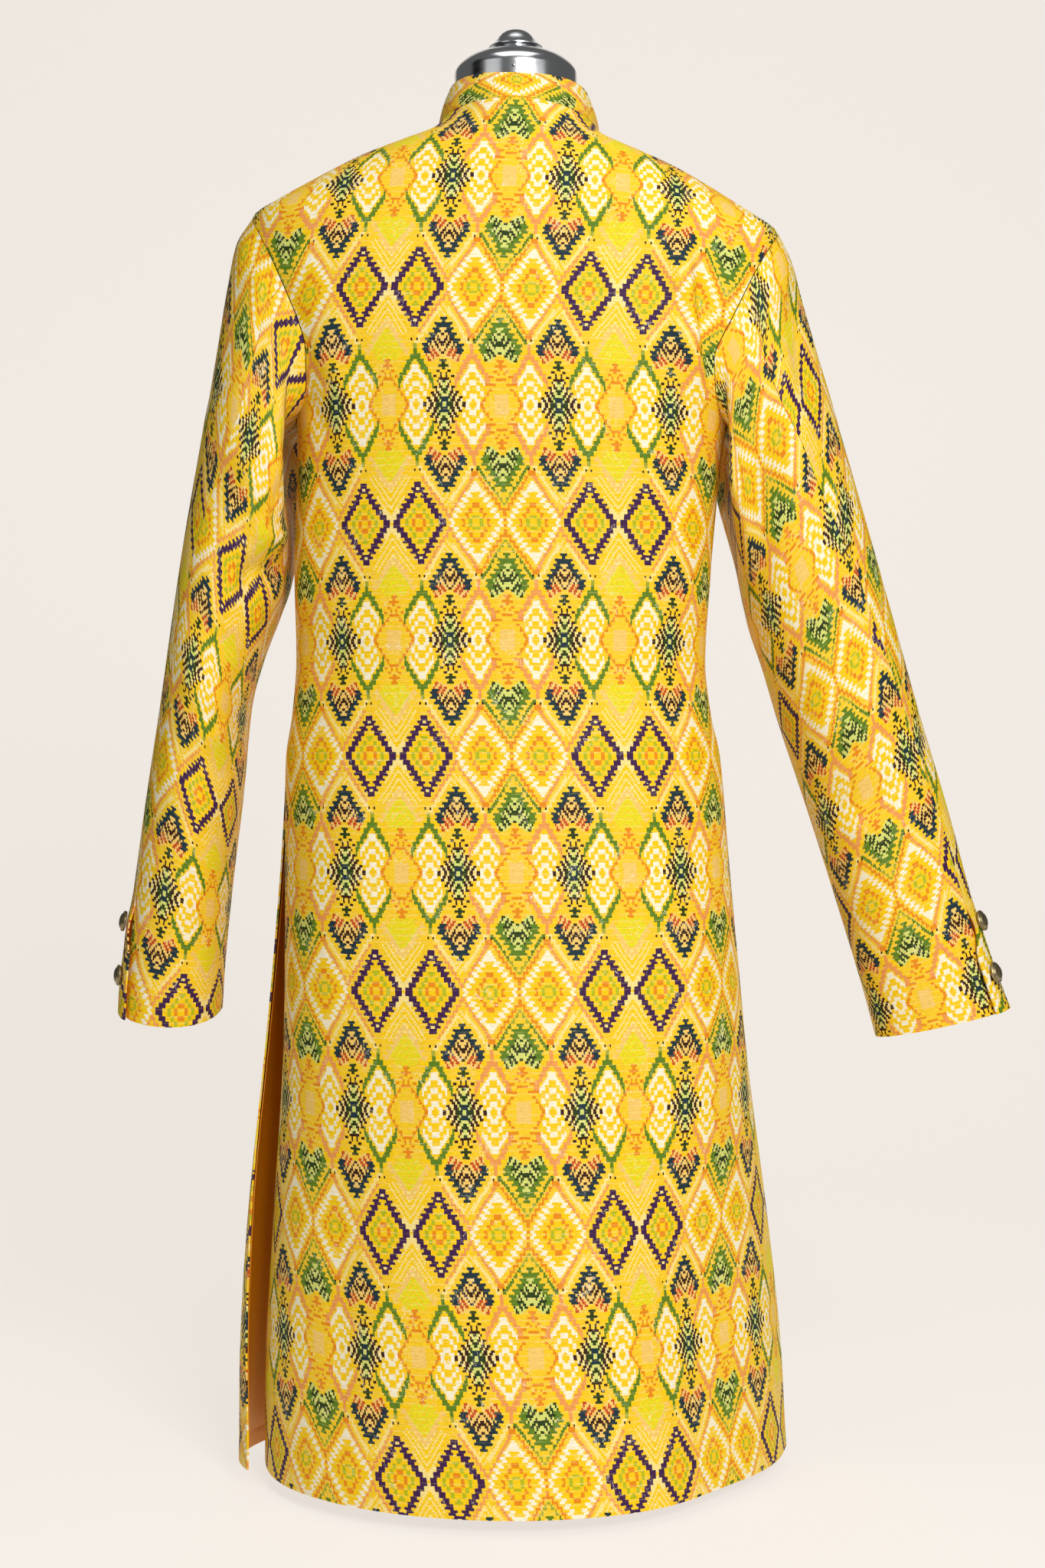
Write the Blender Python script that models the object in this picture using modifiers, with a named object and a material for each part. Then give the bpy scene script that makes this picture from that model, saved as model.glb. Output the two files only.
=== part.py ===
"""Sherwani coat: a printed coat to below the knee, hung on a low tailor's form.

Metres, +Z up. The coat's back faces -Y, the wearer's left is at -X, and the floor is z = 0.
Every cloth piece is a wall between an outer and an inner grid of points. The body pieces read one
skin, a stack of rounded rings, and the sleeves read two side outlines each. hang() then gives all
of them the small sway, lean and turn with which the coat hangs.
"""
import math

import bmesh
import bpy
import numpy as np
from mathutils import Matrix

# Driving sizes
CLOTH = 0.0020          # wall of printed cloth with its lining
LINING = 0.0010         # wall of a lining that shows
SEAM = 0.0004           # space between two pieces that are sewn together
HEM_Z = 0.012           # lowest edge of the coat
ARMPIT_Z = 0.845
TIP_Z = 1.006           # shoulder tip, where the armhole ends
NECK_Z = 1.085          # side neck point
NECK_BACK_Z = 1.094
NECK_FRONT_Z = 1.035
SLIT_Z = 0.600          # top of the side slits
COLLAR_HEIGHT = 0.033
COLLAR_CORNER = 0.012   # radius of its front corners
COLLAR_OPENING = 0.004
COLLAR_BOW = ((0.25, 0.0012), (0.6, 0.0014), (1.0, 0.0))    # share of its height, bulge
COLLAR_LEAN_SIDE = 17   # degrees that it leans in, at the sides and at the back
COLLAR_LEAN_BACK = 40
OVERLAP = 0.018         # how far a front reaches past the centre line
UNDERLAP_STEP = CLOTH + 0.0009    # the right front is this much lower where the left one covers it
UNDERLAP_EDGE = 0.048   # where that starts, from the centre line, and how wide its slope is
UNDERLAP_SLOPE = 0.018
BUTTON_RADIUS = 0.0085
BUTTON_DOME = 0.0048    # its height
BUTTON_EDGE = 0.0018
FRONT_BUTTONS = 7
TOP_BUTTON_DROP = 0.025  # below the front of the neck
LOWEST_BUTTON_Z = 0.555
CUFF_BUTTONS_UP = (0.070, 0.030)  # from the cuff's edge
BASE_RADIUS = 0.140
BASE_THICKNESS = 0.011
POLE_RADIUS = 0.015
FORM_BOTTOM_Z = 0.560
CAP_RADIUS = 0.0502
CAP_ROUND = 0.0300      # how wide its rounded shoulder is
CAP_X = 0.0065
CAP_SHOULDER_Z = 1.1325  # where the cap starts to round over
TOUCH = 0.0003          # space between two pieces that stand on each other

# Grid counts
BACK_COLUMNS = 28
FRONT_COLUMNS = 14
NECK_COLUMNS = 6        # columns of half a panel that end at the neck, not at the shoulder
OVERLAP_COLUMNS = 2
LINING_COLUMNS = 4
SKIRT_ROWS = 16
YOKE_ROWS = 12          # each sleeve reads these points round its armhole
SLEEVE_ROWS = 20
ROW_BUNCHING = 1.12     # the sleeves' rows lie closer together near the shoulder
UNDER_COLUMNS = 10
TOP_COLUMNS = 14
FORM_COLUMNS_AROUND = 28

# Rings of the body: half width at the side, depth to the back and to the front, and roundness,
# where 2 is an ellipse and more is squarer
BODY_COLUMNS = ("z", "half_width", "back", "front", "roundness")
BODY = (
    (0.012, 0.2135, 0.181, 0.165, 1.95),
    (0.090, 0.2110, 0.172, 0.157, 1.98),
    (0.200, 0.2020, 0.158, 0.146, 2.06),
    (0.350, 0.1885, 0.139, 0.132, 2.20),
    (0.500, 0.1800, 0.119, 0.117, 2.35),
    (0.576, 0.1760, 0.109, 0.109, 2.40),
    (0.613, 0.1695, 0.105, 0.104, 2.40),
    (0.655, 0.1660, 0.100, 0.099, 2.40),
    (0.720, 0.1685, 0.100, 0.100, 2.45),
    (0.800, 0.1710, 0.102, 0.107, 2.55),
    (0.845, 0.1740, 0.103, 0.110, 2.60),
    (0.890, 0.1920, 0.103, 0.109, 2.60),
    (0.930, 0.2080, 0.101, 0.105, 2.60),
    (0.963, 0.2190, 0.098, 0.099, 2.60),
    (0.985, 0.2190, 0.095, 0.095, 2.50),
    (1.006, 0.2135, 0.092, 0.090, 2.40),
    (1.0186, 0.1965, 0.090, 0.086, 2.30),
    (1.0310, 0.1755, 0.088, 0.082, 2.25),
    (1.0430, 0.1545, 0.085, 0.078, 2.20),
    (1.0550, 0.1315, 0.081, 0.073, 2.15),
    (1.0660, 0.1050, 0.077, 0.070, 2.10),
    (1.0780, 0.0745, 0.074, 0.067, 2.05),
    (1.0850, 0.0660, 0.073, 0.066, 2.00),
    (1.0940, 0.0600, 0.070, 0.064, 2.00),
)

# How the coat hangs: shift to the side and turn about the upright, seen from above
HANG_COLUMNS = ("z", "shift", "turn_degrees")
HANG = (
    (0.012, 0.0105, 6.4),
    (0.160, 0.0065, 4.8),
    (0.350, 0.0010, 3.0),
    (0.550, -0.0030, 1.2),
    (0.650, -0.0055, 0.3),
    (0.720, -0.0045, 0.0),
    (0.800, 0.0000, -0.8),
    (0.870, 0.0045, -1.5),
    (1.030, 0.0065, -1.5),
    (1.090, 0.0090, -1.5),
)
LEAN = 0.036            # drop of the right shoulder for each metre to the side

# Armholes on the body, from the armpit to the shoulder tip. Columns: x, z
BACK_ARMHOLE = (
    (0.1740, 0.845), (0.1665, 0.851), (0.1610, 0.868), (0.1610, 0.892), (0.1665, 0.912),
    (0.1750, 0.931), (0.1900, 0.963), (0.2040, 0.989), (0.2135, 1.006),
)
FRONT_ARMHOLE = (
    (0.1740, 0.845), (0.1640, 0.850), (0.1560, 0.865), (0.1530, 0.890), (0.1590, 0.915),
    (0.1710, 0.940), (0.1900, 0.968), (0.2040, 0.990), (0.2135, 1.006),
)

# Side outlines of the sleeves at rest, away from the body and towards it. Columns: z, x
LEFT_OUTER = (
    (0.370, 0.3220), (0.389, 0.3205), (0.463, 0.3100), (0.538, 0.2990), (0.613, 0.2867),
    (0.688, 0.2750), (0.763, 0.2630), (0.838, 0.2506), (0.912, 0.2387), (0.950, 0.2325),
    (0.985, 0.2255), (1.006, 0.2135),
)
LEFT_INNER = (
    (0.366, 0.2390), (0.389, 0.2380), (0.463, 0.2312), (0.538, 0.2225), (0.613, 0.2150),
    (0.651, 0.2050), (0.688, 0.1915), (0.712, 0.1840), (0.740, 0.1815), (0.770, 0.1835),
    (0.800, 0.1890), (0.830, 0.1900), (0.845, 0.1752),
)
RIGHT_OUTER = (
    (0.3815, 0.4025), (0.389, 0.3995), (0.463, 0.3740), (0.538, 0.3533), (0.613, 0.3314),
    (0.688, 0.3108), (0.763, 0.2890), (0.838, 0.2672), (0.912, 0.2453), (0.950, 0.2347),
    (0.985, 0.2240), (1.006, 0.2135),
)
RIGHT_INNER = (
    (0.3555, 0.2950), (0.389, 0.2865), (0.463, 0.2640), (0.538, 0.2404), (0.613, 0.2154),
    (0.651, 0.2042), (0.688, 0.1923), (0.745, 0.1823), (0.780, 0.1790), (0.817, 0.1850),
    (0.832, 0.1850), (0.845, 0.1752),
)
# Depth of each sleeve to the back and to the front of its middle, and where that middle lies
DEPTH_COLUMNS = ("along", "back", "front", "middle_y")
LEFT_DEPTH = (
    (0.00, 0.070, 0.078, 0.000), (0.25, 0.082, 0.082, 0.002), (0.50, 0.078, 0.078, 0.006),
    (0.75, 0.066, 0.064, 0.010), (1.00, 0.049, 0.047, 0.012),
)
RIGHT_DEPTH = (
    (0.00, 0.070, 0.078, 0.000), (0.25, 0.074, 0.074, 0.000), (0.50, 0.066, 0.066, 0.002),
    (0.75, 0.052, 0.052, 0.000), (1.00, 0.037, 0.037, -0.004),
)
LEFT_CUFF_DROP = (0.0130, 0.0)    # how much lower a cuff hangs at its back and at its front
RIGHT_CUFF_DROP = (0.0, 0.006)
SEAM_BACK = (math.radians(75), math.radians(38))    # elbow seam, at the armhole and at the cuff
SEAM_INNER = (math.radians(225), math.radians(212))
CUFF_SLIT = 0.15         # share of the sleeve's length that is open at the elbow seam
CUFF_SLIT_RAMP = 0.08    # share over which the slit's upper edge reaches its place
CUFF_LIFT = 0.0038       # the slit's upper edge lies this much higher
CUFF_LAP = 0.0100        # and laps over the lower one by this much
CUFF_EDGE_COLUMNS = 1.6  # how far in from the edge that is felt
SLEEVE_LENGTH = 0.62
SLEEVE_RADIUS = 0.055
SLEEVE_BULGE = 0.92      # 1 is a round sleeve, and less is fuller at the sides
ARMHOLE_SHARE = 0.42     # the share of a sleeve that is drawn towards its armhole's shape

# Soft folds of the back: a ridge or trough from one point to another, as x and z on the back.
# Columns: x0, z0, x1, z1, half width, height
BACK_FOLDS = (
    (0.128, 1.010, 0.150, 0.830, 0.016, 0.0060),
    (0.146, 0.990, 0.160, 0.850, 0.011, -0.0070),
    (0.095, 0.900, 0.150, 0.640, 0.024, 0.0040),
    (-0.150, 0.960, -0.128, 0.780, 0.018, 0.0030),
    (-0.110, 0.620, -0.170, 0.300, 0.030, 0.0045),
    (0.120, 0.560, 0.160, 0.160, 0.034, 0.0050),
    (0.020, 0.420, 0.040, 0.060, 0.040, 0.0040),
    (0.165, -0.300, 0.140, 0.420, 0.050, -0.0120),
)
# Folds of the sleeves, as place along and angle round, where 0 is outward and 90 is the back.
# Columns: along0, degrees0, along1, degrees1, half width, height
LEFT_SLEEVE_FOLDS = (
    (0.10, 120, 0.30, 80, 0.022, 0.0060),
    (0.16, 150, 0.42, 105, 0.020, -0.0080),
    (0.48, 150, 0.56, 60, 0.018, 0.0040),
    (0.58, 160, 0.66, 70, 0.016, -0.0035),
)
RIGHT_SLEEVE_FOLDS = (
    (0.03, 20, 0.22, 62, 0.018, -0.0060),
    (0.06, 50, 0.30, 85, 0.017, 0.0065),
    (0.10, 95, 0.34, 130, 0.020, -0.0060),
    (0.50, 150, 0.60, 60, 0.020, 0.0040),
    (0.60, 155, 0.72, 60, 0.018, -0.0040),
)

COLLECTION = "sherwani_coat"


def column_of(table, columns, name):
    return np.array([row[columns.index(name)] for row in table])


def smooth_read(places, values, at):
    """A smooth curve through the values that never swings past its neighbours."""
    places = np.asarray(places, float)
    values = np.asarray(values, float)
    slope = np.diff(values) / np.diff(places)
    tangent = np.zeros(len(values))
    tangent[0], tangent[-1] = slope[0], slope[-1]
    for i in range(1, len(values) - 1):
        before, after = slope[i - 1], slope[i]
        if before * after > 0:
            tangent[i] = 2 * before * after / (before + after)
    at = np.clip(np.asarray(at, float), places[0], places[-1])
    i = np.clip(np.searchsorted(places, at, side="right") - 1, 0, len(places) - 2)
    step = places[i + 1] - places[i]
    t = (at - places[i]) / step
    rise = values[i + 1] - values[i]
    start, end = tangent[i] * step, tangent[i + 1] * step
    square, cube = 3 * rise - 2 * start - end, start + end - 2 * rise
    return values[i] + start * t + square * t**2 + cube * t**3


def body(name, z):
    return smooth_read(column_of(BODY, BODY_COLUMNS, "z"), column_of(BODY, BODY_COLUMNS, name), z)


def ease(t):
    """0 to 1 with level ends."""
    t = np.clip(t, 0.0, 1.0)
    return t * t * (3 - 2 * t)


def hang(points, lowest_turned=0.0):
    """Sway, turn and lean of the hung coat. Below lowest_turned a piece just follows."""
    points = np.asarray(points, float)
    z = np.maximum(points[..., 2], lowest_turned)
    places = column_of(HANG, HANG_COLUMNS, "z")
    shift = smooth_read(places, column_of(HANG, HANG_COLUMNS, "shift"), z)
    turn = np.radians(smooth_read(places, column_of(HANG, HANG_COLUMNS, "turn_degrees"), z))
    x = points[..., 0] * np.cos(turn) - points[..., 1] * np.sin(turn)
    y = points[..., 0] * np.sin(turn) + points[..., 1] * np.cos(turn)
    drop = LEAN * x * ease((z - 0.75) / 0.20)
    return np.stack([x + shift, y, points[..., 2] - drop], axis=-1)


def skin(z, angle):
    """A point of the body's skin: angle 0 is the right side, 90 degrees the front."""
    power = 2 / body("roundness", z)
    cosine, sine = np.cos(angle), np.sin(angle)
    depth = np.where(sine > 0, body("front", z), body("back", z))
    x = body("half_width", z) * np.sign(cosine) * np.abs(cosine) ** power
    y = depth * np.sign(sine) * np.abs(sine) ** power
    return np.stack([x, y, np.broadcast_to(z, np.shape(x))], axis=-1)


def skin_normal(z, angle):
    small_z, small_angle = 2e-4, 2e-3
    up = skin(z + small_z, angle) - skin(z - small_z, angle)
    round_ = skin(z, angle + small_angle) - skin(z, angle - small_angle)
    normal = np.cross(round_, up)
    return normal / np.linalg.norm(normal, axis=-1, keepdims=True)


def angle_at(x, z, sign):
    """The skin's angle at a sideways place, on the back for sign -1 and the front for sign 1."""
    share = np.clip(np.abs(x) / body("half_width", z), 0.0, 1.0)
    acute = np.arccos(share ** (body("roundness", z) / 2))
    return sign * np.where(np.asarray(x) >= 0, acute, math.pi - acute)


def fold_height(a, b, folds):
    """Height of the folds at the place a, b. Each is highest halfway along and dies out at its ends."""
    total = np.zeros(np.shape(a))
    for a0, b0, a1, b1, half_width, height in folds:
        da, db = a1 - a0, b1 - b0
        length = math.hypot(da, db)
        along = ((a - a0) * da + (b - b0) * db) / length**2
        across = ((a - a0) * db - (b - b0) * da) / length
        ends = ease(2.6 * along) * ease(2.6 * (1 - along))
        total = total + height * np.exp(-((across / half_width) ** 2)) * ends
    return total


def path_length(points):
    return np.concatenate([[0.0], np.cumsum(np.linalg.norm(np.diff(points, axis=0), axis=1))])


def spread(points, count):
    """The same path with evenly spaced points."""
    length = path_length(points)
    at = np.linspace(0, length[-1], count)
    return np.stack([np.interp(at, length, points[:, i]) for i in range(points.shape[1])], axis=1)


def armhole(sign, count):
    """Armhole edge as x, z from the armpit to the tip."""
    rough = np.array(BACK_ARMHOLE if sign < 0 else FRONT_ARMHOLE)
    length = path_length(rough)
    at = np.linspace(0, length[-1], count)
    return np.stack([smooth_read(length, rough[:, k], at) for k in range(2)], axis=1)


def neckline(sign, share):
    """Neck edge as x, z, from the centre at share 0 to the side neck point at share 1."""
    turn = share * math.pi / 2
    x = float(body("half_width", NECK_Z)) * np.sin(turn)
    centre = NECK_BACK_Z if sign < 0 else NECK_FRONT_Z
    return x, NECK_Z + (centre - NECK_Z) * np.cos(turn) ** 1.3


def half_panel(sign, columns):
    """Grid of z and angle for half a body panel, from the centre to the right side.

    The last column is the side seam, then the armhole. The top row is the neck edge, then the
    shoulder seam. Rows and columns between them are blended from these four edges.
    """
    share = np.linspace(0, 1, columns + 1)
    start_angle = sign * (1 - share) * math.pi / 2
    bottom = skin(np.full(columns + 1, ARMPIT_Z), start_angle)[:, [0, 2]]
    side = armhole(sign, 80)
    top = np.zeros((columns + 1, 2))
    ridge_z = np.linspace(NECK_Z, TIP_Z, 60)
    ridge = np.stack([body("half_width", ridge_z), ridge_z], axis=1)
    ridge = spread(ridge, columns - NECK_COLUMNS + 1)
    for i in range(columns + 1):
        top[i] = neckline(sign, i / NECK_COLUMNS) if i <= NECK_COLUMNS else ridge[i - NECK_COLUMNS]
    fine = np.linspace(0, 1, 80)
    centre = np.stack([np.zeros(80), ARMPIT_Z + (top[0, 1] - ARMPIT_Z) * fine], axis=1)
    z_grid = np.zeros((SKIRT_ROWS + YOKE_ROWS + 1, columns + 1))
    angle_grid = np.zeros_like(z_grid)
    skirt = HEM_Z + (ARMPIT_Z - HEM_Z) * np.linspace(0, 1, SKIRT_ROWS + 1)
    for i, s in enumerate(share):
        w = fine[:, None]
        flat = (1 - w) * bottom[i] + w * top[i] + (1 - s) * centre + s * side
        first = (1 - w) * bottom[0] + w * top[0]
        last = (1 - w) * bottom[-1] + w * top[-1]
        corner = (1 - s) * first + s * last
        x, z = (flat - corner).T
        angle = angle_at(np.maximum(x, 0), z, sign)
        line = skin(z, angle)
        length = path_length(line)
        at = np.linspace(0, length[-1], YOKE_ROWS + 1)
        z_grid[:SKIRT_ROWS + 1, i] = skirt
        angle_grid[:SKIRT_ROWS + 1, i] = start_angle[i]
        z_grid[SKIRT_ROWS:, i] = np.interp(at, length, z)
        angle_grid[SKIRT_ROWS:, i] = np.interp(at, length, angle)
    return z_grid, angle_grid


def mesh_object(name, mesh, made_of):
    obj = bpy.data.objects.new(name, mesh)
    bpy.data.collections[COLLECTION].objects.link(obj)
    obj.data.materials.append(made_of)
    return obj


def smooth_mesh(name, bm, sharp_degrees):
    bmesh.ops.recalc_face_normals(bm, faces=bm.faces)
    mesh = bpy.data.meshes.new(name)
    bm.to_mesh(mesh)
    bm.free()
    mesh.shade_smooth()
    mesh.set_sharp_from_angle(angle=math.radians(sharp_degrees))
    return mesh


def wall(name, outer, inner, made_of):
    """A closed cloth wall between two grids of points."""
    rows, columns = outer.shape[:2]
    bm = bmesh.new()
    out, lin = [[[bm.verts.new(p) for p in row] for row in grid] for grid in (outer, inner)]
    for r in range(rows - 1):
        for c in range(columns - 1):
            bm.faces.new((out[r][c], out[r][c + 1], out[r + 1][c + 1], out[r + 1][c]))
            bm.faces.new((lin[r][c], lin[r + 1][c], lin[r + 1][c + 1], lin[r][c + 1]))
        bm.faces.new((out[r][0], out[r + 1][0], lin[r + 1][0], lin[r][0]))
        bm.faces.new((out[r][-1], lin[r][-1], lin[r + 1][-1], out[r + 1][-1]))
    for c in range(columns - 1):
        bm.faces.new((out[0][c], lin[0][c], lin[0][c + 1], out[0][c + 1]))
        bm.faces.new((out[-1][c], out[-1][c + 1], lin[-1][c + 1], lin[-1][c]))
    return mesh_object(name, smooth_mesh(name, bm, 50), made_of)


def material(name, colour, roughness, metallic=0.0):
    made = bpy.data.materials.new(name)
    made.use_nodes = True
    shader = made.node_tree.nodes["Principled BSDF"]
    shader.inputs["Base Color"].default_value = (*colour, 1.0)
    shader.inputs["Roughness"].default_value = roughness
    shader.inputs["Metallic"].default_value = metallic
    made.diffuse_color = (*colour, 1.0)
    return made


# Side slits: how far the back hangs inside the left front and stands out over the right one, and
# how far each front reaches past the side line at the hem, as an angle of the skin (negative is
# short of it)
SLIT_IN = 0.0065
SLIT_OUT = 0.0145
RIGHT_BACK_OUT = 0.0060
SLIT_SPREAD = 0.055
BACK_RAMP = 0.25        # how far below the slit's top the left of the back reaches its place
FRONT_RAMP = 0.45       # the same for the fronts and the right of the back
LEFT_REACH = 0.170
LEFT_REACH_Z = 0.42     # the left front spreads from here down
LEFT_RAMP = 0.40
RIGHT_REACH = -0.123
LINING_TOP_DROP = 0.03
LINING_EDGE_SHARE = 0.12  # how far it stays from the front's edge and hem, in grid steps
LINING_HEM_SHARE = 0.25
SIDE_RADIUS = 0.17      # turns an angle near the side into a length, roughly
FOLD_FADE_Y = -0.03     # the back's folds are gone at the side


def slit_share(z, ramp):
    return ease((SLIT_Z - z) / ramp)


def beside_slit(angle):
    """1 at the nearer side line, and less away from it."""
    from_side = np.abs(np.arcsin(np.sin(angle))) * SIDE_RADIUS
    return np.exp(-((from_side / SLIT_SPREAD) ** 2))


def back_piece():
    """Points and wall normals of the back, from the left side to the right."""
    z, angle = half_panel(-1, BACK_COLUMNS // 2)
    z = np.concatenate([z[:, :0:-1], z], axis=1)
    angle = np.concatenate([-math.pi - angle[:, :0:-1], angle], axis=1)
    points, normal = skin(z, angle), skin_normal(z, angle)
    height = fold_height(points[..., 0], z, BACK_FOLDS) * ease(points[..., 1] / FOLD_FADE_Y)
    left_in = -SLIT_IN * slit_share(z, BACK_RAMP)
    right_out = RIGHT_BACK_OUT * slit_share(z, FRONT_RAMP)
    height = height + np.where(np.cos(angle) > 0, right_out, left_in) * beside_slit(angle)
    outer = points + normal * height[..., None]
    outer[..., 1] -= SEAM / 2
    return outer, normal


def front_piece(side):
    """The same for a front, from the centre edge to the side. side is 1 for the right front."""
    z, angle = half_panel(1, FRONT_COLUMNS)
    if side > 0:
        reach = RIGHT_REACH * slit_share(z, FRONT_RAMP)
    else:
        reach = LEFT_REACH * ease((LEFT_REACH_Z - z) / LEFT_RAMP)
    angle = math.pi / 2 - (math.pi / 2 - angle) * (1 + reach / (math.pi / 2))
    past_centre = OVERLAP * np.arange(OVERLAP_COLUMNS, 0, -1) / OVERLAP_COLUMNS
    z_past = np.broadcast_to(z[:, :1], (len(z), OVERLAP_COLUMNS))
    angle = np.concatenate([angle_at(-past_centre, z_past, 1), angle], axis=1)
    z = np.concatenate([z_past, z], axis=1)
    points, normal = skin(z, angle), skin_normal(z, angle)
    if side > 0:
        height = -UNDERLAP_STEP * ease((UNDERLAP_EDGE - points[..., 0]) / UNDERLAP_SLOPE)
    else:
        height = SLIT_OUT * slit_share(z, FRONT_RAMP) * beside_slit(angle)
    outer = points + normal * height[..., None]
    mirror = np.array([side, 1.0, 1.0])
    outer, normal = outer * mirror, normal * mirror
    outer[..., 1] += SEAM / 2
    return outer, normal


def walled(name, outer, normal, made_of, thickness=CLOTH, lowest_turned=0.0):
    inner = outer - normal * thickness
    return wall(name, hang(outer, lowest_turned), hang(inner, lowest_turned), made_of)


def lining_piece(side):
    """Lining of a front skirt beside its slit, laid on the front's inner face."""
    outer, normal = front_piece(side)
    rows = int(np.sum(outer[:, -1, 2] < SLIT_Z - LINING_TOP_DROP))
    columns = LINING_COLUMNS + 1
    outer, normal = outer[:rows, -columns:].copy(), normal[:rows, -columns:].copy()
    outer[:, -1] += (outer[:, -2] - outer[:, -1]) * LINING_EDGE_SHARE
    outer[0] += (outer[1] - outer[0]) * LINING_HEM_SHARE
    return outer - normal * (CLOTH + SEAM), normal


def armhole_loop(side):
    """Outer points round an armhole, every 15 degrees: tip, down the back, armpit, up the front."""
    back, _ = back_piece()
    front, _ = front_piece(side)
    behind = back[SKIRT_ROWS:, -1 if side > 0 else 0]
    before = front[SKIRT_ROWS:, -1]
    return np.concatenate([behind[::-1], before[1:-1]])


def sleeve_grid(side):
    """Points and normals of a whole sleeve. Columns start at the elbow seam and end there again."""
    if side > 0:
        outer_line, inner_line, depth, drop = RIGHT_OUTER, RIGHT_INNER, RIGHT_DEPTH, RIGHT_CUFF_DROP
    else:
        outer_line, inner_line, depth, drop = LEFT_OUTER, LEFT_INNER, LEFT_DEPTH, LEFT_CUFF_DROP
    loop = armhole_loop(side) * np.array([side, 1.0, 1.0])
    along = np.linspace(0, 1, SLEEVE_ROWS + 1) ** ROW_BUNCHING
    elbow_seam = SEAM_BACK[0] + (SEAM_BACK[1] - SEAM_BACK[0]) * ease(along / 0.9)
    inner_seam = SEAM_INNER[0] + (SEAM_INNER[1] - SEAM_INNER[0]) * ease(along / 0.9)
    elbow_seam, inner_seam = elbow_seam[:, None], inner_seam[:, None]
    under = np.linspace(0, 1, UNDER_COLUMNS + 1)
    top = np.linspace(0, 1, TOP_COLUMNS + 1)[1:]
    angle = np.concatenate([
        elbow_seam + (inner_seam - elbow_seam) * under,
        inner_seam + (elbow_seam + 2 * math.pi - inner_seam) * top,
    ], axis=1)
    u = np.broadcast_to(along[:, None], angle.shape)

    def ring(u, angle):
        zo = TIP_Z + (outer_line[0][0] - TIP_Z) * u
        zi = ARMPIT_Z + (inner_line[0][0] - ARMPIT_Z) * u
        xo = smooth_read(*np.array(outer_line).T, zo)
        xi = smooth_read(*np.array(inner_line).T, zi)
        places = column_of(depth, DEPTH_COLUMNS, "along")
        back, front, middle = (
            smooth_read(places, column_of(depth, DEPTH_COLUMNS, name), u)
            for name in ("back", "front", "middle_y")
        )
        cosine, sine = np.cos(angle), np.sin(angle)
        share = (1 + np.sign(cosine) * np.abs(cosine) ** SLEEVE_BULGE) / 2
        reach = np.where(sine > 0, back, front) * np.sign(sine) * np.abs(sine) ** SLEEVE_BULGE
        y = middle - reach
        z = zi + (zo - zi) * share - u**4 * np.where(sine > 0, drop[0], -drop[1]) * sine
        return np.stack([xi + (xo - xi) * share, y, z], axis=-1)

    steps = np.linspace(0, 2 * math.pi, len(loop) + 1)
    difference = np.concatenate([loop, loop[:1]]) - ring(np.zeros(len(steps)), steps)
    turned = np.mod(angle, 2 * math.pi)
    fade = (1 - ease(u / ARMHOLE_SHARE))[..., None]
    shift = np.stack([np.interp(turned, steps, difference[:, k]) for k in range(3)], axis=-1)
    points = ring(u, angle) + shift * fade
    round_scale = math.radians(1) * SLEEVE_RADIUS
    folds = [
        (a0 * SLEEVE_LENGTH, b0 * round_scale, a1 * SLEEVE_LENGTH, b1 * round_scale, half, height)
        for a0, b0, a1, b1, half, height in (RIGHT_SLEEVE_FOLDS if side > 0 else LEFT_SLEEVE_FOLDS)
    ]
    normal = grid_normals(points)
    height = fold_height(u * SLEEVE_LENGTH, turned * SLEEVE_RADIUS, folds) * ease(u / 0.05)
    points = points + normal * height[..., None]
    normal = grid_normals(points)
    start = points[1] - points[0]
    points[0] += start / np.linalg.norm(start, axis=1, keepdims=True) * 2 * SEAM
    mirror = np.array([side, 1.0, 1.0])
    return points * mirror, normal * mirror, along


def grid_normals(points):
    """Outward normals of a sleeve, whose rows run down it and whose columns run round it."""
    down = np.gradient(points, axis=0)
    round_ = np.empty_like(points)
    round_[:, 1:-1] = points[:, 2:] - points[:, :-2]
    round_[:, 0] = round_[:, -1] = points[:, 1] - points[:, -2]
    normal = np.cross(round_, down)
    return normal / np.linalg.norm(normal, axis=-1, keepdims=True)


def sleeve(side, word, made_of):
    """Makes the under and the top sleeve, and returns the top one's grid for its buttons."""
    points, normal, along = sleeve_grid(side)
    under = UNDER_COLUMNS
    tangent = np.empty_like(points)
    tangent[:, 1:-1] = points[:, 2:] - points[:, :-2]
    tangent[:, 0] = tangent[:, -1] = points[:, 1] - points[:, -2]
    tangent /= np.linalg.norm(tangent, axis=-1, keepdims=True)
    lower, lower_normal = points[:, :under + 1].copy(), normal[:, :under + 1]
    upper, upper_normal = points[:, under:].copy(), normal[:, under:]
    lower[:, 0] += tangent[:, 0] * SEAM / 2
    lower[:, -1] -= tangent[:, under] * SEAM / 2
    upper[:, 0] += tangent[:, under] * SEAM / 2
    upper[:, -1] -= tangent[:, -1] * SEAM / 2
    open_share = (along - (1 - CUFF_SLIT)) / CUFF_SLIT_RAMP
    near_edge = np.exp(-((np.arange(upper.shape[1] - 1, -1, -1) / CUFF_EDGE_COLUMNS) ** 2))
    raised = (ease(open_share / 0.5)[:, None] * near_edge)[..., None]
    lapped = (ease((open_share - 0.5) / 0.5)[:, None] * near_edge)[..., None]
    upper = upper + upper_normal * CUFF_LIFT * raised + tangent[:, under:] * CUFF_LAP * lapped
    walled(f"top_sleeve_{word}", upper, upper_normal, made_of, lowest_turned=ARMPIT_Z)
    walled(f"under_sleeve_{word}", lower, lower_normal, made_of, lowest_turned=ARMPIT_Z)
    return upper, upper_normal, along


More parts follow.
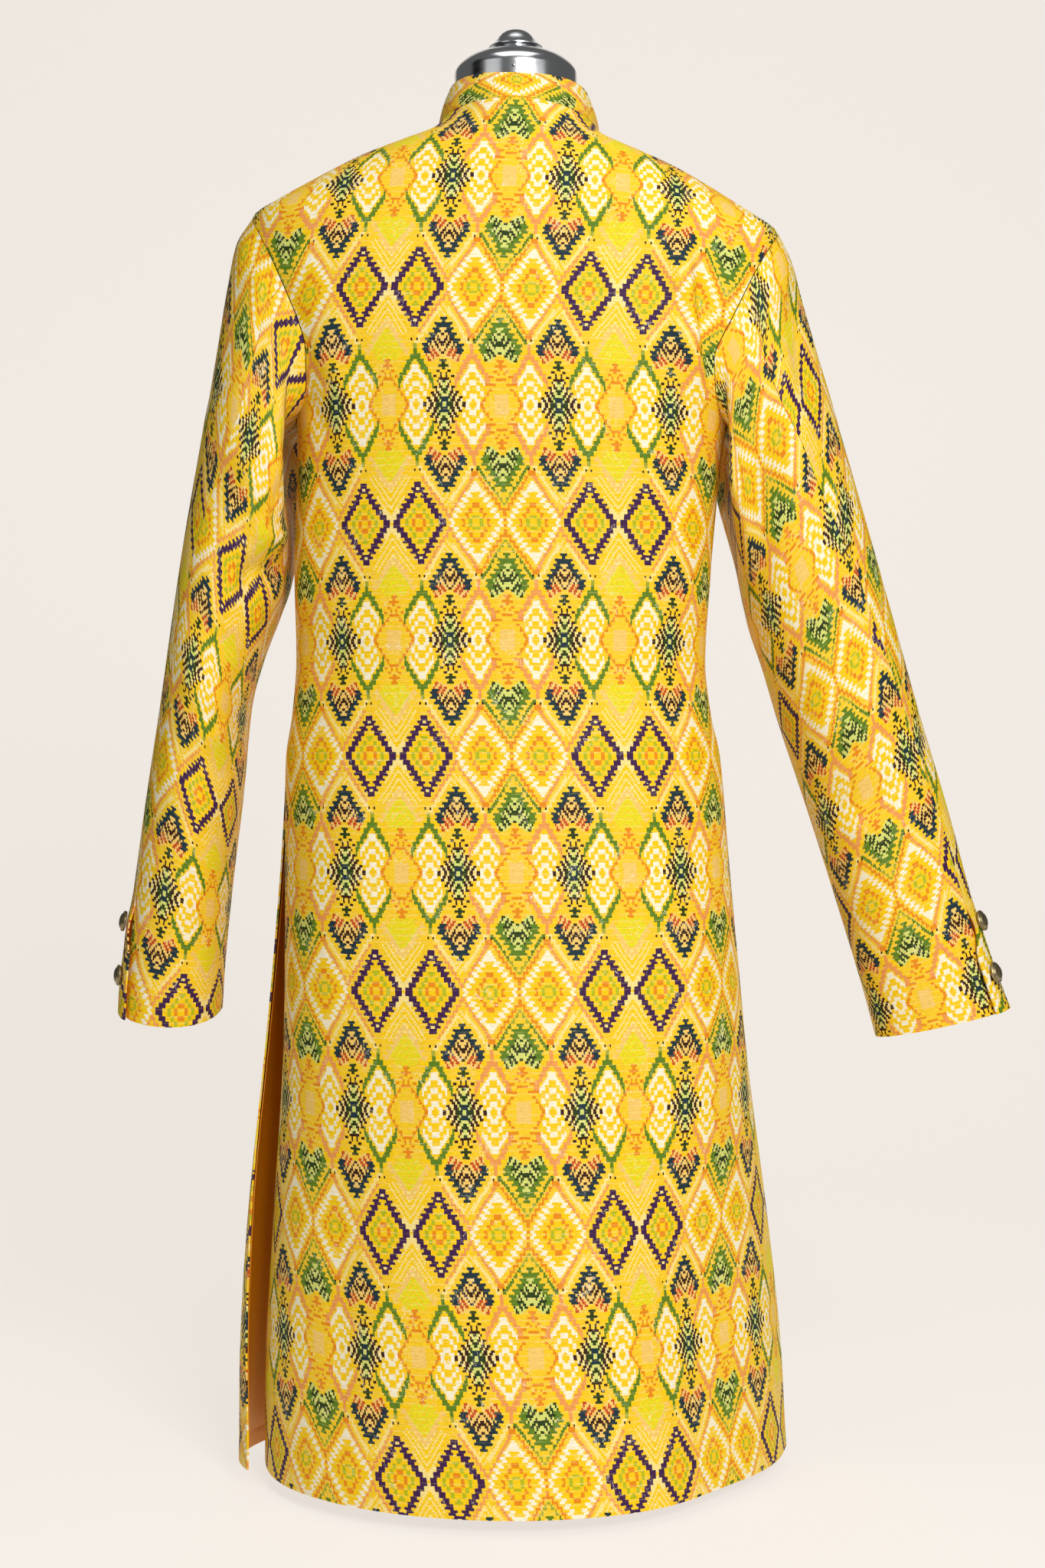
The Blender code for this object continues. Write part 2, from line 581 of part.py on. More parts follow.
def neck_edge():
    """Points and wall normals along the neck, from the front centre round the right to the back."""
    edges = []
    for sign, columns in ((1, FRONT_COLUMNS), (-1, BACK_COLUMNS // 2)):
        z, angle = half_panel(sign, columns)
        edges.append((z[-1, :NECK_COLUMNS + 1], angle[-1, :NECK_COLUMNS + 1]))
    z = np.concatenate([edges[0][0], edges[1][0][-2::-1]])
    angle = np.concatenate([edges[0][1], edges[1][1][-2::-1]])
    return skin(z, angle), skin_normal(z, angle)


def collar(made_of):
    """Stand-up collar from the right front corner round the back to the left."""
    right, right_normal = neck_edge()
    right[0, 0] = COLLAR_OPENING / 2
    mirror = np.array([-1.0, 1.0, 1.0])
    points = np.concatenate([right, (right * mirror)[-2::-1]])
    normal = np.concatenate([right_normal, (right_normal * mirror)[-2::-1]])
    backward = np.clip(-points[:, 1] / 0.070, 0, 1)
    lean = np.radians(COLLAR_LEAN_SIDE + (COLLAR_LEAN_BACK - COLLAR_LEAN_SIDE) * backward**2)[:, None]
    inward = -points * [1, 1, 0]
    inward /= np.linalg.norm(inward, axis=1, keepdims=True)
    rise = np.array([0.0, 0.0, 1.0]) * np.cos(lean) + inward * np.sin(lean)
    outward = np.array([0.0, 0.0, 1.0]) * np.sin(lean) - inward * np.cos(lean)
    length = path_length(points)
    to_end = np.minimum(length, length[-1] - length)
    short = np.maximum(0, COLLAR_CORNER - to_end)
    full = COLLAR_HEIGHT - COLLAR_CORNER + np.sqrt(COLLAR_CORNER**2 - short**2)
    outer = [points + rise * 1.5 * SEAM]
    inner = [outer[0] - normal * CLOTH]
    for share, bow in COLLAR_BOW:
        outer.append(points + rise * (full * share)[:, None] + outward * bow)
        inner.append(outer[-1] - outward * CLOTH)
    return wall("collar", hang(np.array(outer)), hang(np.array(inner)), made_of)


def turned(name, profile, steps, made_of):
    """A turned solid. The profile is radius and height, from the axis at the top to the bottom."""
    mesh = bpy.data.meshes.new(name)
    edges = [(i, i + 1) for i in range(len(profile) - 1)]
    mesh.from_pydata([(r, 0, h) for r, h in profile], edges, [])
    obj = mesh_object(name, mesh, made_of)
    screw = obj.modifiers.new("turn", "SCREW")
    screw.steps = screw.render_steps = steps
    screw.use_merge_vertices = True
    screw.merge_threshold = 0.00001
    screw.use_smooth_shade = True
    return obj


def arc(radius, height, r_centre, h_centre, start, end, count):
    """Points of an elliptical arc in a profile, angles in degrees from the outward radius."""
    turns = np.radians(np.linspace(start, end, count))
    return [(r_centre + radius * math.cos(t), h_centre + height * math.sin(t)) for t in turns]


def button_profile():
    dome = arc(BUTTON_RADIUS * 0.93, BUTTON_DOME - BUTTON_EDGE, 0, BUTTON_EDGE, 90, 0, 4)
    dome[0] = (0.0, dome[0][1])
    return dome + [(BUTTON_RADIUS, 0.0012), (BUTTON_RADIUS * 0.97, 0.0), (0.0, 0.0)]


def place_on(obj, point, normal):
    """Seats a turned piece on a surface point, its axis along the normal."""
    z = normal / np.linalg.norm(normal)
    x = np.cross([0.0, 0.0, 1.0], z)
    x /= np.linalg.norm(x)
    y = np.cross(z, x)
    frame = np.eye(4)
    frame[:3, 0], frame[:3, 1], frame[:3, 2], frame[:3, 3] = x, y, z, point
    obj.matrix_world = Matrix(frame.tolist())


def cuff_buttons(side, word, upper, upper_normal, along, made_of):
    """Two buttons on the top sleeve, near the edge of its cuff slit."""
    grid = hang(upper, ARMPIT_Z)
    tips = hang(upper + upper_normal * 0.01, ARMPIT_Z)
    for i, before_cuff in enumerate(CUFF_BUTTONS_UP):
        share = 1 - before_cuff / SLEEVE_LENGTH
        row = int(np.searchsorted(along, share)) - 1
        t = (share - along[row]) / (along[row + 1] - along[row])
        foot = grid[row, -2] * (1 - t) + grid[row + 1, -2] * t
        tip = tips[row, -2] * (1 - t) + tips[row + 1, -2] * t
        across = grid[row, -1] - grid[row, -3]
        down = grid[row + 1, -2] - grid[row, -2]
        normal = np.cross(across, down)
        normal *= np.sign(normal @ (tip - foot)) / np.linalg.norm(normal)
        obj = turned(f"cuff_button_{word}_{i + 1}", button_profile(), 12, made_of)
        place_on(obj, foot + normal * 0.0010, normal)


def front_buttons(made_of):
    """Buttons on the wearer's left front, along the centre line."""
    places = np.linspace(NECK_FRONT_Z - TOP_BUTTON_DROP, LOWEST_BUTTON_Z, FRONT_BUTTONS)
    for i, z in enumerate(places):
        angle = math.pi / 2
        foot = skin(z, angle)
        normal = skin_normal(z, angle)
        foot = foot + [0, SEAM / 2, 0]
        obj = turned(f"front_button_{i + 1}", button_profile(), 12, made_of)
        ends = hang(np.stack([foot + normal * 0.0004, foot + normal * 0.01]))
        place_on(obj, ends[0], ends[1] - ends[0])


# The form under the coat, with the columns of BODY. Over the shoulders it follows the coat's skin
# from close below
FORM_BODY = (
    (0.560, 0.1560, 0.0900, 0.0900, 2.30), (0.600, 0.1580, 0.0930, 0.0920, 2.30),
    (0.655, 0.1540, 0.0890, 0.0880, 2.30), (0.720, 0.1565, 0.0895, 0.0890, 2.35),
    (0.800, 0.1600, 0.0930, 0.0970, 2.45), (0.845, 0.1615, 0.0945, 0.1005, 2.50),
    (0.890, 0.1660, 0.0945, 0.1000, 2.50), (0.930, 0.1780, 0.0930, 0.0970, 2.50),
    (0.963, 0.1890, 0.0910, 0.0920, 2.50), (0.985, 0.1930, 0.0885, 0.0885, 2.45),
    (1.003, 0.1940, 0.0870, 0.0850, 2.40),
)
FORM_NECK = (
    (1.0700, 0.0820, 0.0700, 0.0590, 2.05), (1.0780, 0.0630, 0.0630, 0.0580, 2.00),
    (1.0860, 0.0545, 0.0530, 0.0570, 2.00), (1.0945, 0.0498, 0.0438, 0.0558, 2.00),
)
SHOULDER_RINGS_Z = (1.0185, 1.0270, 1.0360, 1.0450, 1.0540, 1.0615)
SHOULDER_DROP = 0.0034   # the form lies this far below the coat's skin there
BACK_CLEAR = 0.0040
FRONT_CLEAR = 0.0050
NECK_Y = 0.006
FORM_EDGE = 0.006        # its lower edge is rounded in by this much


def form_rings():
    rows = list(FORM_BODY)
    for z in SHOULDER_RINGS_Z:
        above = z + SHOULDER_DROP
        rows.append((
            z, float(body("half_width", above)), float(body("back", above)) - BACK_CLEAR,
            float(body("front", above)) - FRONT_CLEAR, float(body("roundness", above)),
        ))
    return rows + list(FORM_NECK)


def torso_form(made_of):
    around = FORM_COLUMNS_AROUND
    turn = np.linspace(0, 2 * math.pi, around, endpoint=False)
    cosine, sine = np.cos(turn), np.sin(turn)
    rings = []
    for z, half_width, back, front, roundness in form_rings():
        power = 2 / roundness
        depth = np.where(sine > 0, front, back)
        ring = np.stack([
            half_width * np.sign(cosine) * np.abs(cosine) ** power,
            depth * np.sign(sine) * np.abs(sine) ** power,
            np.full(around, z),
        ], axis=-1)
        rings.append(ring)
    rings.insert(0, rings[0] * [0.93, 0.93, 1.0] - [0, 0, FORM_EDGE])
    grid = hang(np.array(rings))
    grid[-1, :, 2] = FORM_NECK[-1][0]
    grid[0, :, 2] = FORM_BOTTOM_Z - FORM_EDGE
    bm = bmesh.new()
    verts = [[bm.verts.new(p) for p in ring] for ring in grid]
    for r in range(len(verts) - 1):
        for c in range(around):
            d = (c + 1) % around
            bm.faces.new((verts[r][c], verts[r][d], verts[r + 1][d], verts[r + 1][c]))
    bm.faces.new(verts[0][::-1])
    bm.faces.new(verts[-1])
    return mesh_object("torso_form", smooth_mesh("torso_form", bm, 40), made_of)


def neck_cap(steel, screw_steel):
    """Spun cap on the neck, its knob and the small screw at its back."""
    centre = (CAP_X, NECK_Y, 0)
    low = FORM_NECK[-1][0] + TOUCH
    shoulder = arc(CAP_ROUND, CAP_ROUND / 2, CAP_RADIUS - CAP_ROUND, CAP_SHOULDER_Z, 66, 0, 7)
    top = [(0.0, CAP_SHOULDER_Z + 0.0215), (0.0190, CAP_SHOULDER_Z + 0.0180)]
    cap = turned("neck_cap", top + shoulder + [(CAP_RADIUS, low), (0.0, low)], 32, steel)
    cap.location = centre
    above = (
        (0.0, 0.0375), (0.0060, 0.0368), (0.0115, 0.0342), (0.0158, 0.0298), (0.0190, 0.0255),
        (0.0225, 0.0222), (0.0180, 0.0222), (0.0175, 0.01855), (0.0, 0.0218),
    )
    knob = turned("cap_knob", [(r, CAP_SHOULDER_Z + h) for r, h in above], 28, steel)
    knob.location = centre
    head = ((0.0, 0.0008), (0.0012, 0.0006), (0.0015, 0.0), (0.0, 0.0))
    screw = turned("cap_screw", head, 8, screw_steel)
    out = np.array([-0.03, -1.0, 0.0])
    out /= np.linalg.norm(out)
    seat = np.array([CAP_X, NECK_Y, CAP_SHOULDER_Z - 0.0055])
    place_on(screw, seat + out * (CAP_RADIUS + TOUCH), out)


def stand(iron, steel):
    turned("stand_base", [
        (0.0, BASE_THICKNESS), (BASE_RADIUS - 0.004, BASE_THICKNESS),
        (BASE_RADIUS, BASE_THICKNESS - 0.004), (BASE_RADIUS, 0.0), (0.0, 0.0),
    ], 40, iron)
    low, high = BASE_THICKNESS + TOUCH, FORM_BOTTOM_Z - FORM_EDGE - TOUCH
    turned("pole", [(0.0, high), (POLE_RADIUS, high), (POLE_RADIUS, low), (0.0, low)], 20, steel)


def main():
    for obj in list(bpy.data.objects):
        bpy.data.objects.remove(obj, do_unlink=True)
    parts = bpy.data.collections.new(COLLECTION)
    bpy.context.scene.collection.children.link(parts)
    cloth = material("printed_silk", (0.85, 0.60, 0.06), 0.55)
    lining = material("ochre_lining", (0.72, 0.33, 0.02), 0.45)
    antique = material("antique_metal", (0.18, 0.15, 0.11), 0.40, 0.9)
    form_cover = material("form_jersey", (0.80, 0.76, 0.70), 0.85)
    chrome = material("spun_steel", (0.75, 0.76, 0.78), 0.12, 1.0)
    iron = material("stand_steel", (0.30, 0.30, 0.31), 0.40, 0.9)

    walled("back", *back_piece(), cloth)
    for side, word in ((-1, "left"), (1, "right")):
        walled(f"front_{word}", *front_piece(side), cloth)
        walled(f"front_lining_{word}", *lining_piece(side), lining, LINING)
        upper, upper_normal, along = sleeve(side, word, cloth)
        cuff_buttons(side, word, upper, upper_normal, along, antique)
    collar(cloth)
    front_buttons(antique)
    torso_form(form_cover)
    neck_cap(chrome, iron)
    stand(iron, chrome)


main()
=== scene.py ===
"""Looks of the sherwani coat: printed cloth shells, lining, buttons, form, stand and studio."""
import math

import bmesh
import bpy
import numpy as np
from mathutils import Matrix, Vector


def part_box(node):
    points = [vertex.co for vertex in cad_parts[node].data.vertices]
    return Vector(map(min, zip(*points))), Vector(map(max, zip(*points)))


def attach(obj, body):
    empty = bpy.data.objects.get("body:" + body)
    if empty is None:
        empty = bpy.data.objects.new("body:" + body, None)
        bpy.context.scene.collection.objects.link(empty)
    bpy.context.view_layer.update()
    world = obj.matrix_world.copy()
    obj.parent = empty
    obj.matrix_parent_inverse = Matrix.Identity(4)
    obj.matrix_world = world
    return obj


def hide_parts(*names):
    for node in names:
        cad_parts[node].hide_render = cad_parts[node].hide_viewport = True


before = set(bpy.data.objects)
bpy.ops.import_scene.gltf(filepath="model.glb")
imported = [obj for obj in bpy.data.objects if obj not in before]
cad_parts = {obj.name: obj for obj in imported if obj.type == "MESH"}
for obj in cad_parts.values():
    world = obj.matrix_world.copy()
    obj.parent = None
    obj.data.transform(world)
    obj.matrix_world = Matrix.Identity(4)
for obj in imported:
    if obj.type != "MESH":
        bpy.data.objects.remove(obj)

bl_info = {
    "name": "Sherwani coat on a dress form",
    "version": (1, 0, 0),
    "blender": (4, 5, 0),
    "location": "3D View > Sidebar > Coat",
    "description": "Builds the coat's cloth, buttons, form, stand and studio on the packed frame",
    "category": "Object",
}

# The coat's form, in metres, as in the part's source
SHELL = 0.0014          # printed silk with its lining
COLLAR_SHELL = 0.0019
LINING = 0.0007
SEAM = 0.0004
HEM_Z = 0.012
ARMPIT_Z = 0.845
TIP_Z = 1.006
NECK_Z = 1.085
NECK_BACK_Z = 1.094
NECK_FRONT_Z = 1.035
SLIT_Z = 0.600
COLLAR_HEIGHT = 0.033
COLLAR_CORNER = 0.012
COLLAR_OPENING = 0.004
COLLAR_LEAN_SIDE = 17
COLLAR_LEAN_BACK = 40
OVERLAP = 0.018
CLOTH = 0.0020          # wall of the solids, on which the front's lining lies
FINER = 4               # grid steps here for each one of the solids
BACK_COLUMNS = 28 * FINER
FRONT_COLUMNS = 14 * FINER
NECK_COLUMNS = 6 * FINER
SKIRT_ROWS = 16 * 7
YOKE_ROWS = 12 * FINER
EDGE_MARGIN = 5         # grid steps over which creases die out towards a seam
SLEEVE_ROWS = 112
UNDER_COLUMNS = 10 * FINER
TOP_COLUMNS = 14 * FINER

BODY_COLUMNS = ("z", "half_width", "back", "front", "roundness")
BODY = (
    (0.012, 0.2135, 0.181, 0.165, 1.95),
    (0.090, 0.2110, 0.172, 0.157, 1.98),
    (0.200, 0.2020, 0.158, 0.146, 2.06),
    (0.350, 0.1885, 0.139, 0.132, 2.20),
    (0.500, 0.1800, 0.119, 0.117, 2.35),
    (0.576, 0.1760, 0.109, 0.109, 2.40),
    (0.613, 0.1695, 0.105, 0.104, 2.40),
    (0.655, 0.1660, 0.100, 0.099, 2.40),
    (0.720, 0.1685, 0.100, 0.100, 2.45),
    (0.800, 0.1710, 0.102, 0.107, 2.55),
    (0.845, 0.1740, 0.103, 0.110, 2.60),
    (0.890, 0.1920, 0.103, 0.109, 2.60),
    (0.930, 0.2080, 0.101, 0.105, 2.60),
    (0.963, 0.2190, 0.098, 0.099, 2.60),
    (0.985, 0.2190, 0.095, 0.095, 2.50),
    (1.006, 0.2135, 0.092, 0.090, 2.40),
    (1.0186, 0.1965, 0.090, 0.086, 2.30),
    (1.0310, 0.1755, 0.088, 0.082, 2.25),
    (1.0430, 0.1545, 0.085, 0.078, 2.20),
    (1.0550, 0.1315, 0.081, 0.073, 2.15),
    (1.0660, 0.1050, 0.077, 0.070, 2.10),
    (1.0780, 0.0745, 0.074, 0.067, 2.05),
    (1.0850, 0.0660, 0.073, 0.066, 2.00),
    (1.0940, 0.0600, 0.070, 0.064, 2.00),
)
HANG = (                # height, shift to the right, turn in degrees
    (0.012, 0.0105, 6.4),
    (0.160, 0.0065, 4.8),
    (0.350, 0.0010, 3.0),
    (0.550, -0.0030, 1.2),
    (0.650, -0.0055, 0.3),
    (0.720, -0.0045, 0.0),
    (0.800, 0.0000, -0.8),
    (0.870, 0.0045, -1.5),
    (1.030, 0.0065, -1.5),
    (1.090, 0.0090, -1.5),
)
LEAN = 0.036            # drop of the right shoulder for each metre to the side
LEAN_Z = 0.75           # the coat leans from here up, and fully this much higher
LEAN_RAMP = 0.20
BACK_ARMHOLE = (
    (0.1740, 0.845), (0.1665, 0.851), (0.1610, 0.868), (0.1610, 0.892), (0.1665, 0.912),
    (0.1750, 0.931), (0.1900, 0.963), (0.2040, 0.989), (0.2135, 1.006),
)
FRONT_ARMHOLE = (
    (0.1740, 0.845), (0.1640, 0.850), (0.1560, 0.865), (0.1530, 0.890), (0.1590, 0.915),
    (0.1710, 0.940), (0.1900, 0.968), (0.2040, 0.990), (0.2135, 1.006),
)
LEFT_OUTER = (
    (0.370, 0.3220), (0.389, 0.3205), (0.463, 0.3100), (0.538, 0.2990), (0.613, 0.2867),
    (0.688, 0.2750), (0.763, 0.2630), (0.838, 0.2506), (0.912, 0.2387), (0.950, 0.2325),
    (0.985, 0.2255), (1.006, 0.2135),
)
LEFT_INNER = (
    (0.366, 0.2390), (0.389, 0.2380), (0.463, 0.2312), (0.538, 0.2225), (0.613, 0.2150),
    (0.651, 0.2050), (0.688, 0.1915), (0.712, 0.1840), (0.740, 0.1815), (0.770, 0.1835),
    (0.800, 0.1890), (0.830, 0.1900), (0.845, 0.1752),
)
RIGHT_OUTER = (
    (0.3815, 0.4025), (0.389, 0.3995), (0.463, 0.3740), (0.538, 0.3533), (0.613, 0.3314),
    (0.688, 0.3108), (0.763, 0.2890), (0.838, 0.2672), (0.912, 0.2453), (0.950, 0.2347),
    (0.985, 0.2240), (1.006, 0.2135),
)
RIGHT_INNER = (
    (0.3555, 0.2950), (0.389, 0.2865), (0.463, 0.2640), (0.538, 0.2404), (0.613, 0.2154),
    (0.651, 0.2042), (0.688, 0.1923), (0.745, 0.1823), (0.780, 0.1790), (0.817, 0.1850),
    (0.832, 0.1850), (0.845, 0.1752),
)
LEFT_DEPTH = (
    (0.00, 0.070, 0.078, 0.000), (0.25, 0.082, 0.082, 0.002), (0.50, 0.078, 0.078, 0.006),
    (0.75, 0.066, 0.064, 0.010), (1.00, 0.049, 0.047, 0.012),
)
RIGHT_DEPTH = (
    (0.00, 0.070, 0.078, 0.000), (0.25, 0.074, 0.074, 0.000), (0.50, 0.066, 0.066, 0.002),
    (0.75, 0.052, 0.052, 0.000), (1.00, 0.037, 0.037, -0.004),
)
LEFT_CUFF_DROP = (0.0130, 0.0)
RIGHT_CUFF_DROP = (0.0, 0.006)
SEAM_BACK = (math.radians(75), math.radians(38))
SEAM_INNER = (math.radians(225), math.radians(212))
CUFF_SLIT = 0.15
CUFF_LIFT = 0.0038
CUFF_LAP = 0.0100
BACK_FOLDS = (
    (0.128, 1.010, 0.150, 0.830, 0.016, 0.0060),
    (0.146, 0.990, 0.160, 0.850, 0.011, -0.0070),
    (0.095, 0.900, 0.150, 0.640, 0.024, 0.0040),
    (-0.150, 0.960, -0.128, 0.780, 0.018, 0.0030),
    (-0.110, 0.620, -0.170, 0.300, 0.030, 0.0045),
    (0.120, 0.560, 0.160, 0.160, 0.034, 0.0050),
    (0.020, 0.420, 0.040, 0.060, 0.040, 0.0040),
    (0.165, -0.300, 0.140, 0.420, 0.050, -0.0120),
)
LEFT_SLEEVE_FOLDS = (
    (0.10, 120, 0.30, 80, 0.022, 0.0060),
    (0.16, 150, 0.42, 105, 0.020, -0.0080),
    (0.48, 150, 0.56, 60, 0.018, 0.0040),
    (0.58, 160, 0.66, 70, 0.016, -0.0035),
)
RIGHT_SLEEVE_FOLDS = (
    (0.03, 20, 0.22, 62, 0.018, -0.0060),
    (0.06, 50, 0.30, 85, 0.017, 0.0065),
    (0.10, 95, 0.34, 130, 0.020, -0.0060),
    (0.50, 150, 0.60, 60, 0.020, 0.0040),
    (0.60, 155, 0.72, 60, 0.018, -0.0040),
)
SLIT_IN = 0.0065
SLIT_OUT = 0.0145
RIGHT_BACK_OUT = 0.0060
SLIT_SPREAD = 0.055
BACK_RAMP = 0.25        # how far below the slit's top the left of the back reaches its place
FRONT_RAMP = 0.45       # the same for the fronts and the right of the back
LEFT_REACH = 0.170      # how far round each front's side edge goes at the hem, as an angle
RIGHT_REACH = -0.123
LEFT_REACH_Z = 0.42     # the left front spreads from here down
LEFT_RAMP = 0.40
SIDE_RADIUS = 0.17      # turns an angle near the side into a length, roughly
FOLD_FADE_Y = -0.03     # the back's folds are gone at the side
UNDERLAP_STEP = CLOTH + 0.0009    # the right front is this much lower where the left one covers it
UNDERLAP_EDGE = 0.048   # where that starts, from the centre line, and how wide its slope is
UNDERLAP_SLOPE = 0.018
FRONT_WAVE_EDGE = 0.03  # the fronts have waves from here to the side
FRONT_WAVE_RAMP = 0.05
WAVE = 0.0007           # height of the soft waves of the body, and of the sleeves
SLEEVE_WAVE = 0.0005
LINING_DROP = 0.03      # the lining ends this much below the slit's top
LINING_RISE = 0.010     # and its lowest rows are this much higher than the front's hem
LINING_GAP = 0.0004
SLEEVE_LENGTH = 0.62
SLEEVE_RADIUS = 0.055
ARMHOLE_SHARE = 0.42    # the share of a sleeve that is drawn towards its armhole's shape
CUFF_SLIT_RAMP = 0.08   # share over which the slit's upper edge reaches its place
CUFF_EDGE_COLUMNS = 1.6 # how far in from the edge that is felt, in the solids' columns
ROW_BUNCHING = 1.12     # the sleeves' rows lie closer together near the shoulder
SLEEVE_BULGE = 0.92     # 1 is a round sleeve, and less is fuller at the sides
SEAM_SHARE = 0.9        # the sleeve's seams have turned to their last angle here
SLEEVE_FOLD_START = 0.05    # shares of the sleeve over which folds and creases grow and fade
CREASE_START = 0.04
CREASE_END = 0.03
CREASE_SEAM = 0.15      # and the angle beside a seam
NECK_DEPTH = 0.070      # from the neck's middle to its back, for the collar's lean
COLLAR_ROWS = 14
COLLAR_BOW = 0.0014     # how far the collar bulges halfway up, and its top edge leans out
COLLAR_FLARE = 0.0004

# Finer creases that only the cloth here has, as x and z on the back: ends, half width and height
BACK_CREASES = (
    (0.130, 1.000, 0.152, 0.860, 0.005, 0.0030),
    (0.140, 0.985, 0.158, 0.860, 0.005, -0.0040),
    (0.100, 0.985, 0.140, 0.905, 0.006, -0.0022),
    (0.118, 0.930, 0.158, 0.868, 0.005, 0.0020),
    (0.060, 1.040, 0.110, 0.960, 0.010, 0.0016),
    (-0.160, 0.905, -0.120, 0.850, 0.006, 0.0018),
    (-0.168, 0.870, -0.125, 0.800, 0.007, -0.0018),
    (-0.158, 0.705, -0.090, 0.668, 0.009, 0.0016),
    (0.085, 0.672, 0.158, 0.700, 0.008, 0.0018),
    (0.096, 0.640, 0.160, 0.655, 0.007, -0.0014),
    (-0.160, 0.655, -0.110, 0.640, 0.007, -0.0012),
    (-0.055, 0.500, -0.075, 0.120, 0.018, 0.0018),
    (0.085, 0.450, 0.105, 0.090, 0.020, -0.0022),
    (-0.140, 0.300, -0.150, 0.030, 0.014, -0.0020),
)
LEFT_SLEEVE_CREASES = (
    (0.17, 175, 0.30, 100, 0.008, 0.0060),
    (0.23, 175, 0.36, 105, 0.010, -0.0080),
    (0.05, 130, 0.16, 100, 0.007, 0.0022),
    (0.12, 140, 0.24, 112, 0.006, -0.0020),
    (0.40, 150, 0.47, 70, 0.008, -0.0020),
    (0.53, 155, 0.60, 85, 0.008, 0.0022),
    (0.66, 150, 0.72, 95, 0.007, 0.0014),
    (0.80, 140, 0.86, 70, 0.010, 0.0010),
)
RIGHT_SLEEVE_CREASES = (
    (0.04, 70, 0.17, 100, 0.007, 0.0022),
    (0.08, 110, 0.20, 128, 0.006, -0.0022),
    (0.42, 140, 0.50, 75, 0.009, 0.0022),
    (0.55, 145, 0.63, 70, 0.008, -0.0020),
    (0.66, 140, 0.75, 80, 0.008, 0.0018),
    (0.82, 130, 0.90, 60, 0.010, 0.0010),
)

# The print: one quarter of the repeat is 32 steps wide and 22.3 rows high
STEPS_ACROSS = 32
STEPS_UP = 22.3
ROW_RISE = 0.2          # each row of blocks starts this share of a row below its number
HALF_ROWS = 45
MOST_STOPS = 31         # a colour ramp holds 32
QUARTER_WIDTH = 0.0885
QUARTER_HEIGHT = 0.0904
# How the weave's centre line runs beside the centre back, by height
PRINT_DRIFT = (
    (0.012, 0.0015), (0.18, -0.001), (0.35, 0.003), (0.53, 0.006), (0.72, 0.005), (0.82, -0.0035),
    (0.90, -0.008), (1.00, -0.003), (1.094, 0.0),
)
DIAMOND_ROW_Z = 0.2179  # height of one row of diamonds at the centre back
LEFT_SLEEVE_PRINT = (0.0505, 0.0194)    # how far the print of each sleeve is moved round and up
RIGHT_SLEEVE_PRINT = (0.0114, 0.1063)

PRINT_COLOURS = {
    "y": "#F8CA26", "Y": "#F8CA0C", "e": "#FAE08A", "w": "#F8EED0", "o": "#E88A16",
    "s": "#EC9A50", "p": "#F5C868", "g": "#5E7E20", "G": "#2C3B15", "t": "#20343C",
    "u": "#40204A", "b": "#381C12", "r": "#C64E1E", "l": "#D6DA72", "c": "#E6DC1A",
    "v": "#B4B81E", "V": "#A2A632",
}


def smooth_read(places, values, at):
    """A smooth curve through the values that never swings past its neighbours."""
    places = np.asarray(places, float)
    values = np.asarray(values, float)
    slope = np.diff(values) / np.diff(places)
    tangent = np.zeros(len(values))
    tangent[0], tangent[-1] = slope[0], slope[-1]
    for i in range(1, len(values) - 1):
        before, after = slope[i - 1], slope[i]
        if before * after > 0:
            tangent[i] = 2 * before * after / (before + after)
    at = np.clip(np.asarray(at, float), places[0], places[-1])
    i = np.clip(np.searchsorted(places, at, side="right") - 1, 0, len(places) - 2)
    step = places[i + 1] - places[i]
    t = (at - places[i]) / step
    rise = values[i + 1] - values[i]
    start, end = tangent[i] * step, tangent[i + 1] * step
    return values[i] + start * t + (3 * rise - 2 * start - end) * t**2 + (start + end - 2 * rise) * t**3


BODY_TABLE = np.array(BODY)
HANG_TABLE = np.array(HANG)


def body(name, z):
    return smooth_read(BODY_TABLE[:, 0], BODY_TABLE[:, BODY_COLUMNS.index(name)], z)


def ease(t):
    t = np.clip(t, 0.0, 1.0)
    return t * t * (3 - 2 * t)


def hang(points, lowest_turned=0.0):
    """Sway, turn and lean of the hung coat."""
    points = np.asarray(points, float)
    z = np.maximum(points[..., 2], lowest_turned)
    shift = smooth_read(HANG_TABLE[:, 0], HANG_TABLE[:, 1], z)
    turn = np.radians(smooth_read(HANG_TABLE[:, 0], HANG_TABLE[:, 2], z))
    x = points[..., 0] * np.cos(turn) - points[..., 1] * np.sin(turn)
    y = points[..., 0] * np.sin(turn) + points[..., 1] * np.cos(turn)
    drop = LEAN * x * ease((z - LEAN_Z) / LEAN_RAMP)
    return np.stack([x + shift, y, points[..., 2] - drop], axis=-1)


def skin(z, angle):
    """A point of the body's skin: angle 0 is the right side, 90 degrees the front."""
    power = 2 / body("roundness", z)
    cosine, sine = np.cos(angle), np.sin(angle)
    depth = np.where(sine > 0, body("front", z), body("back", z))
    x = body("half_width", z) * np.sign(cosine) * np.abs(cosine) ** power
    y = depth * np.sign(sine) * np.abs(sine) ** power
    return np.stack([x, y, np.broadcast_to(z, np.shape(x))], axis=-1)


def unit(vectors):
    return vectors / np.linalg.norm(vectors, axis=-1, keepdims=True)


def skin_normal(z, angle):
    small_z, small_angle = 2e-4, 2e-3
    up = skin(z + small_z, angle) - skin(z - small_z, angle)
    around = skin(z, angle + small_angle) - skin(z, angle - small_angle)
    return unit(np.cross(around, up))


def angle_at(x, z, sign):
    share = np.clip(np.abs(x) / body("half_width", z), 0.0, 1.0)
    acute = np.arccos(share ** (body("roundness", z) / 2))
    return sign * np.where(np.asarray(x) >= 0, acute, math.pi - acute)


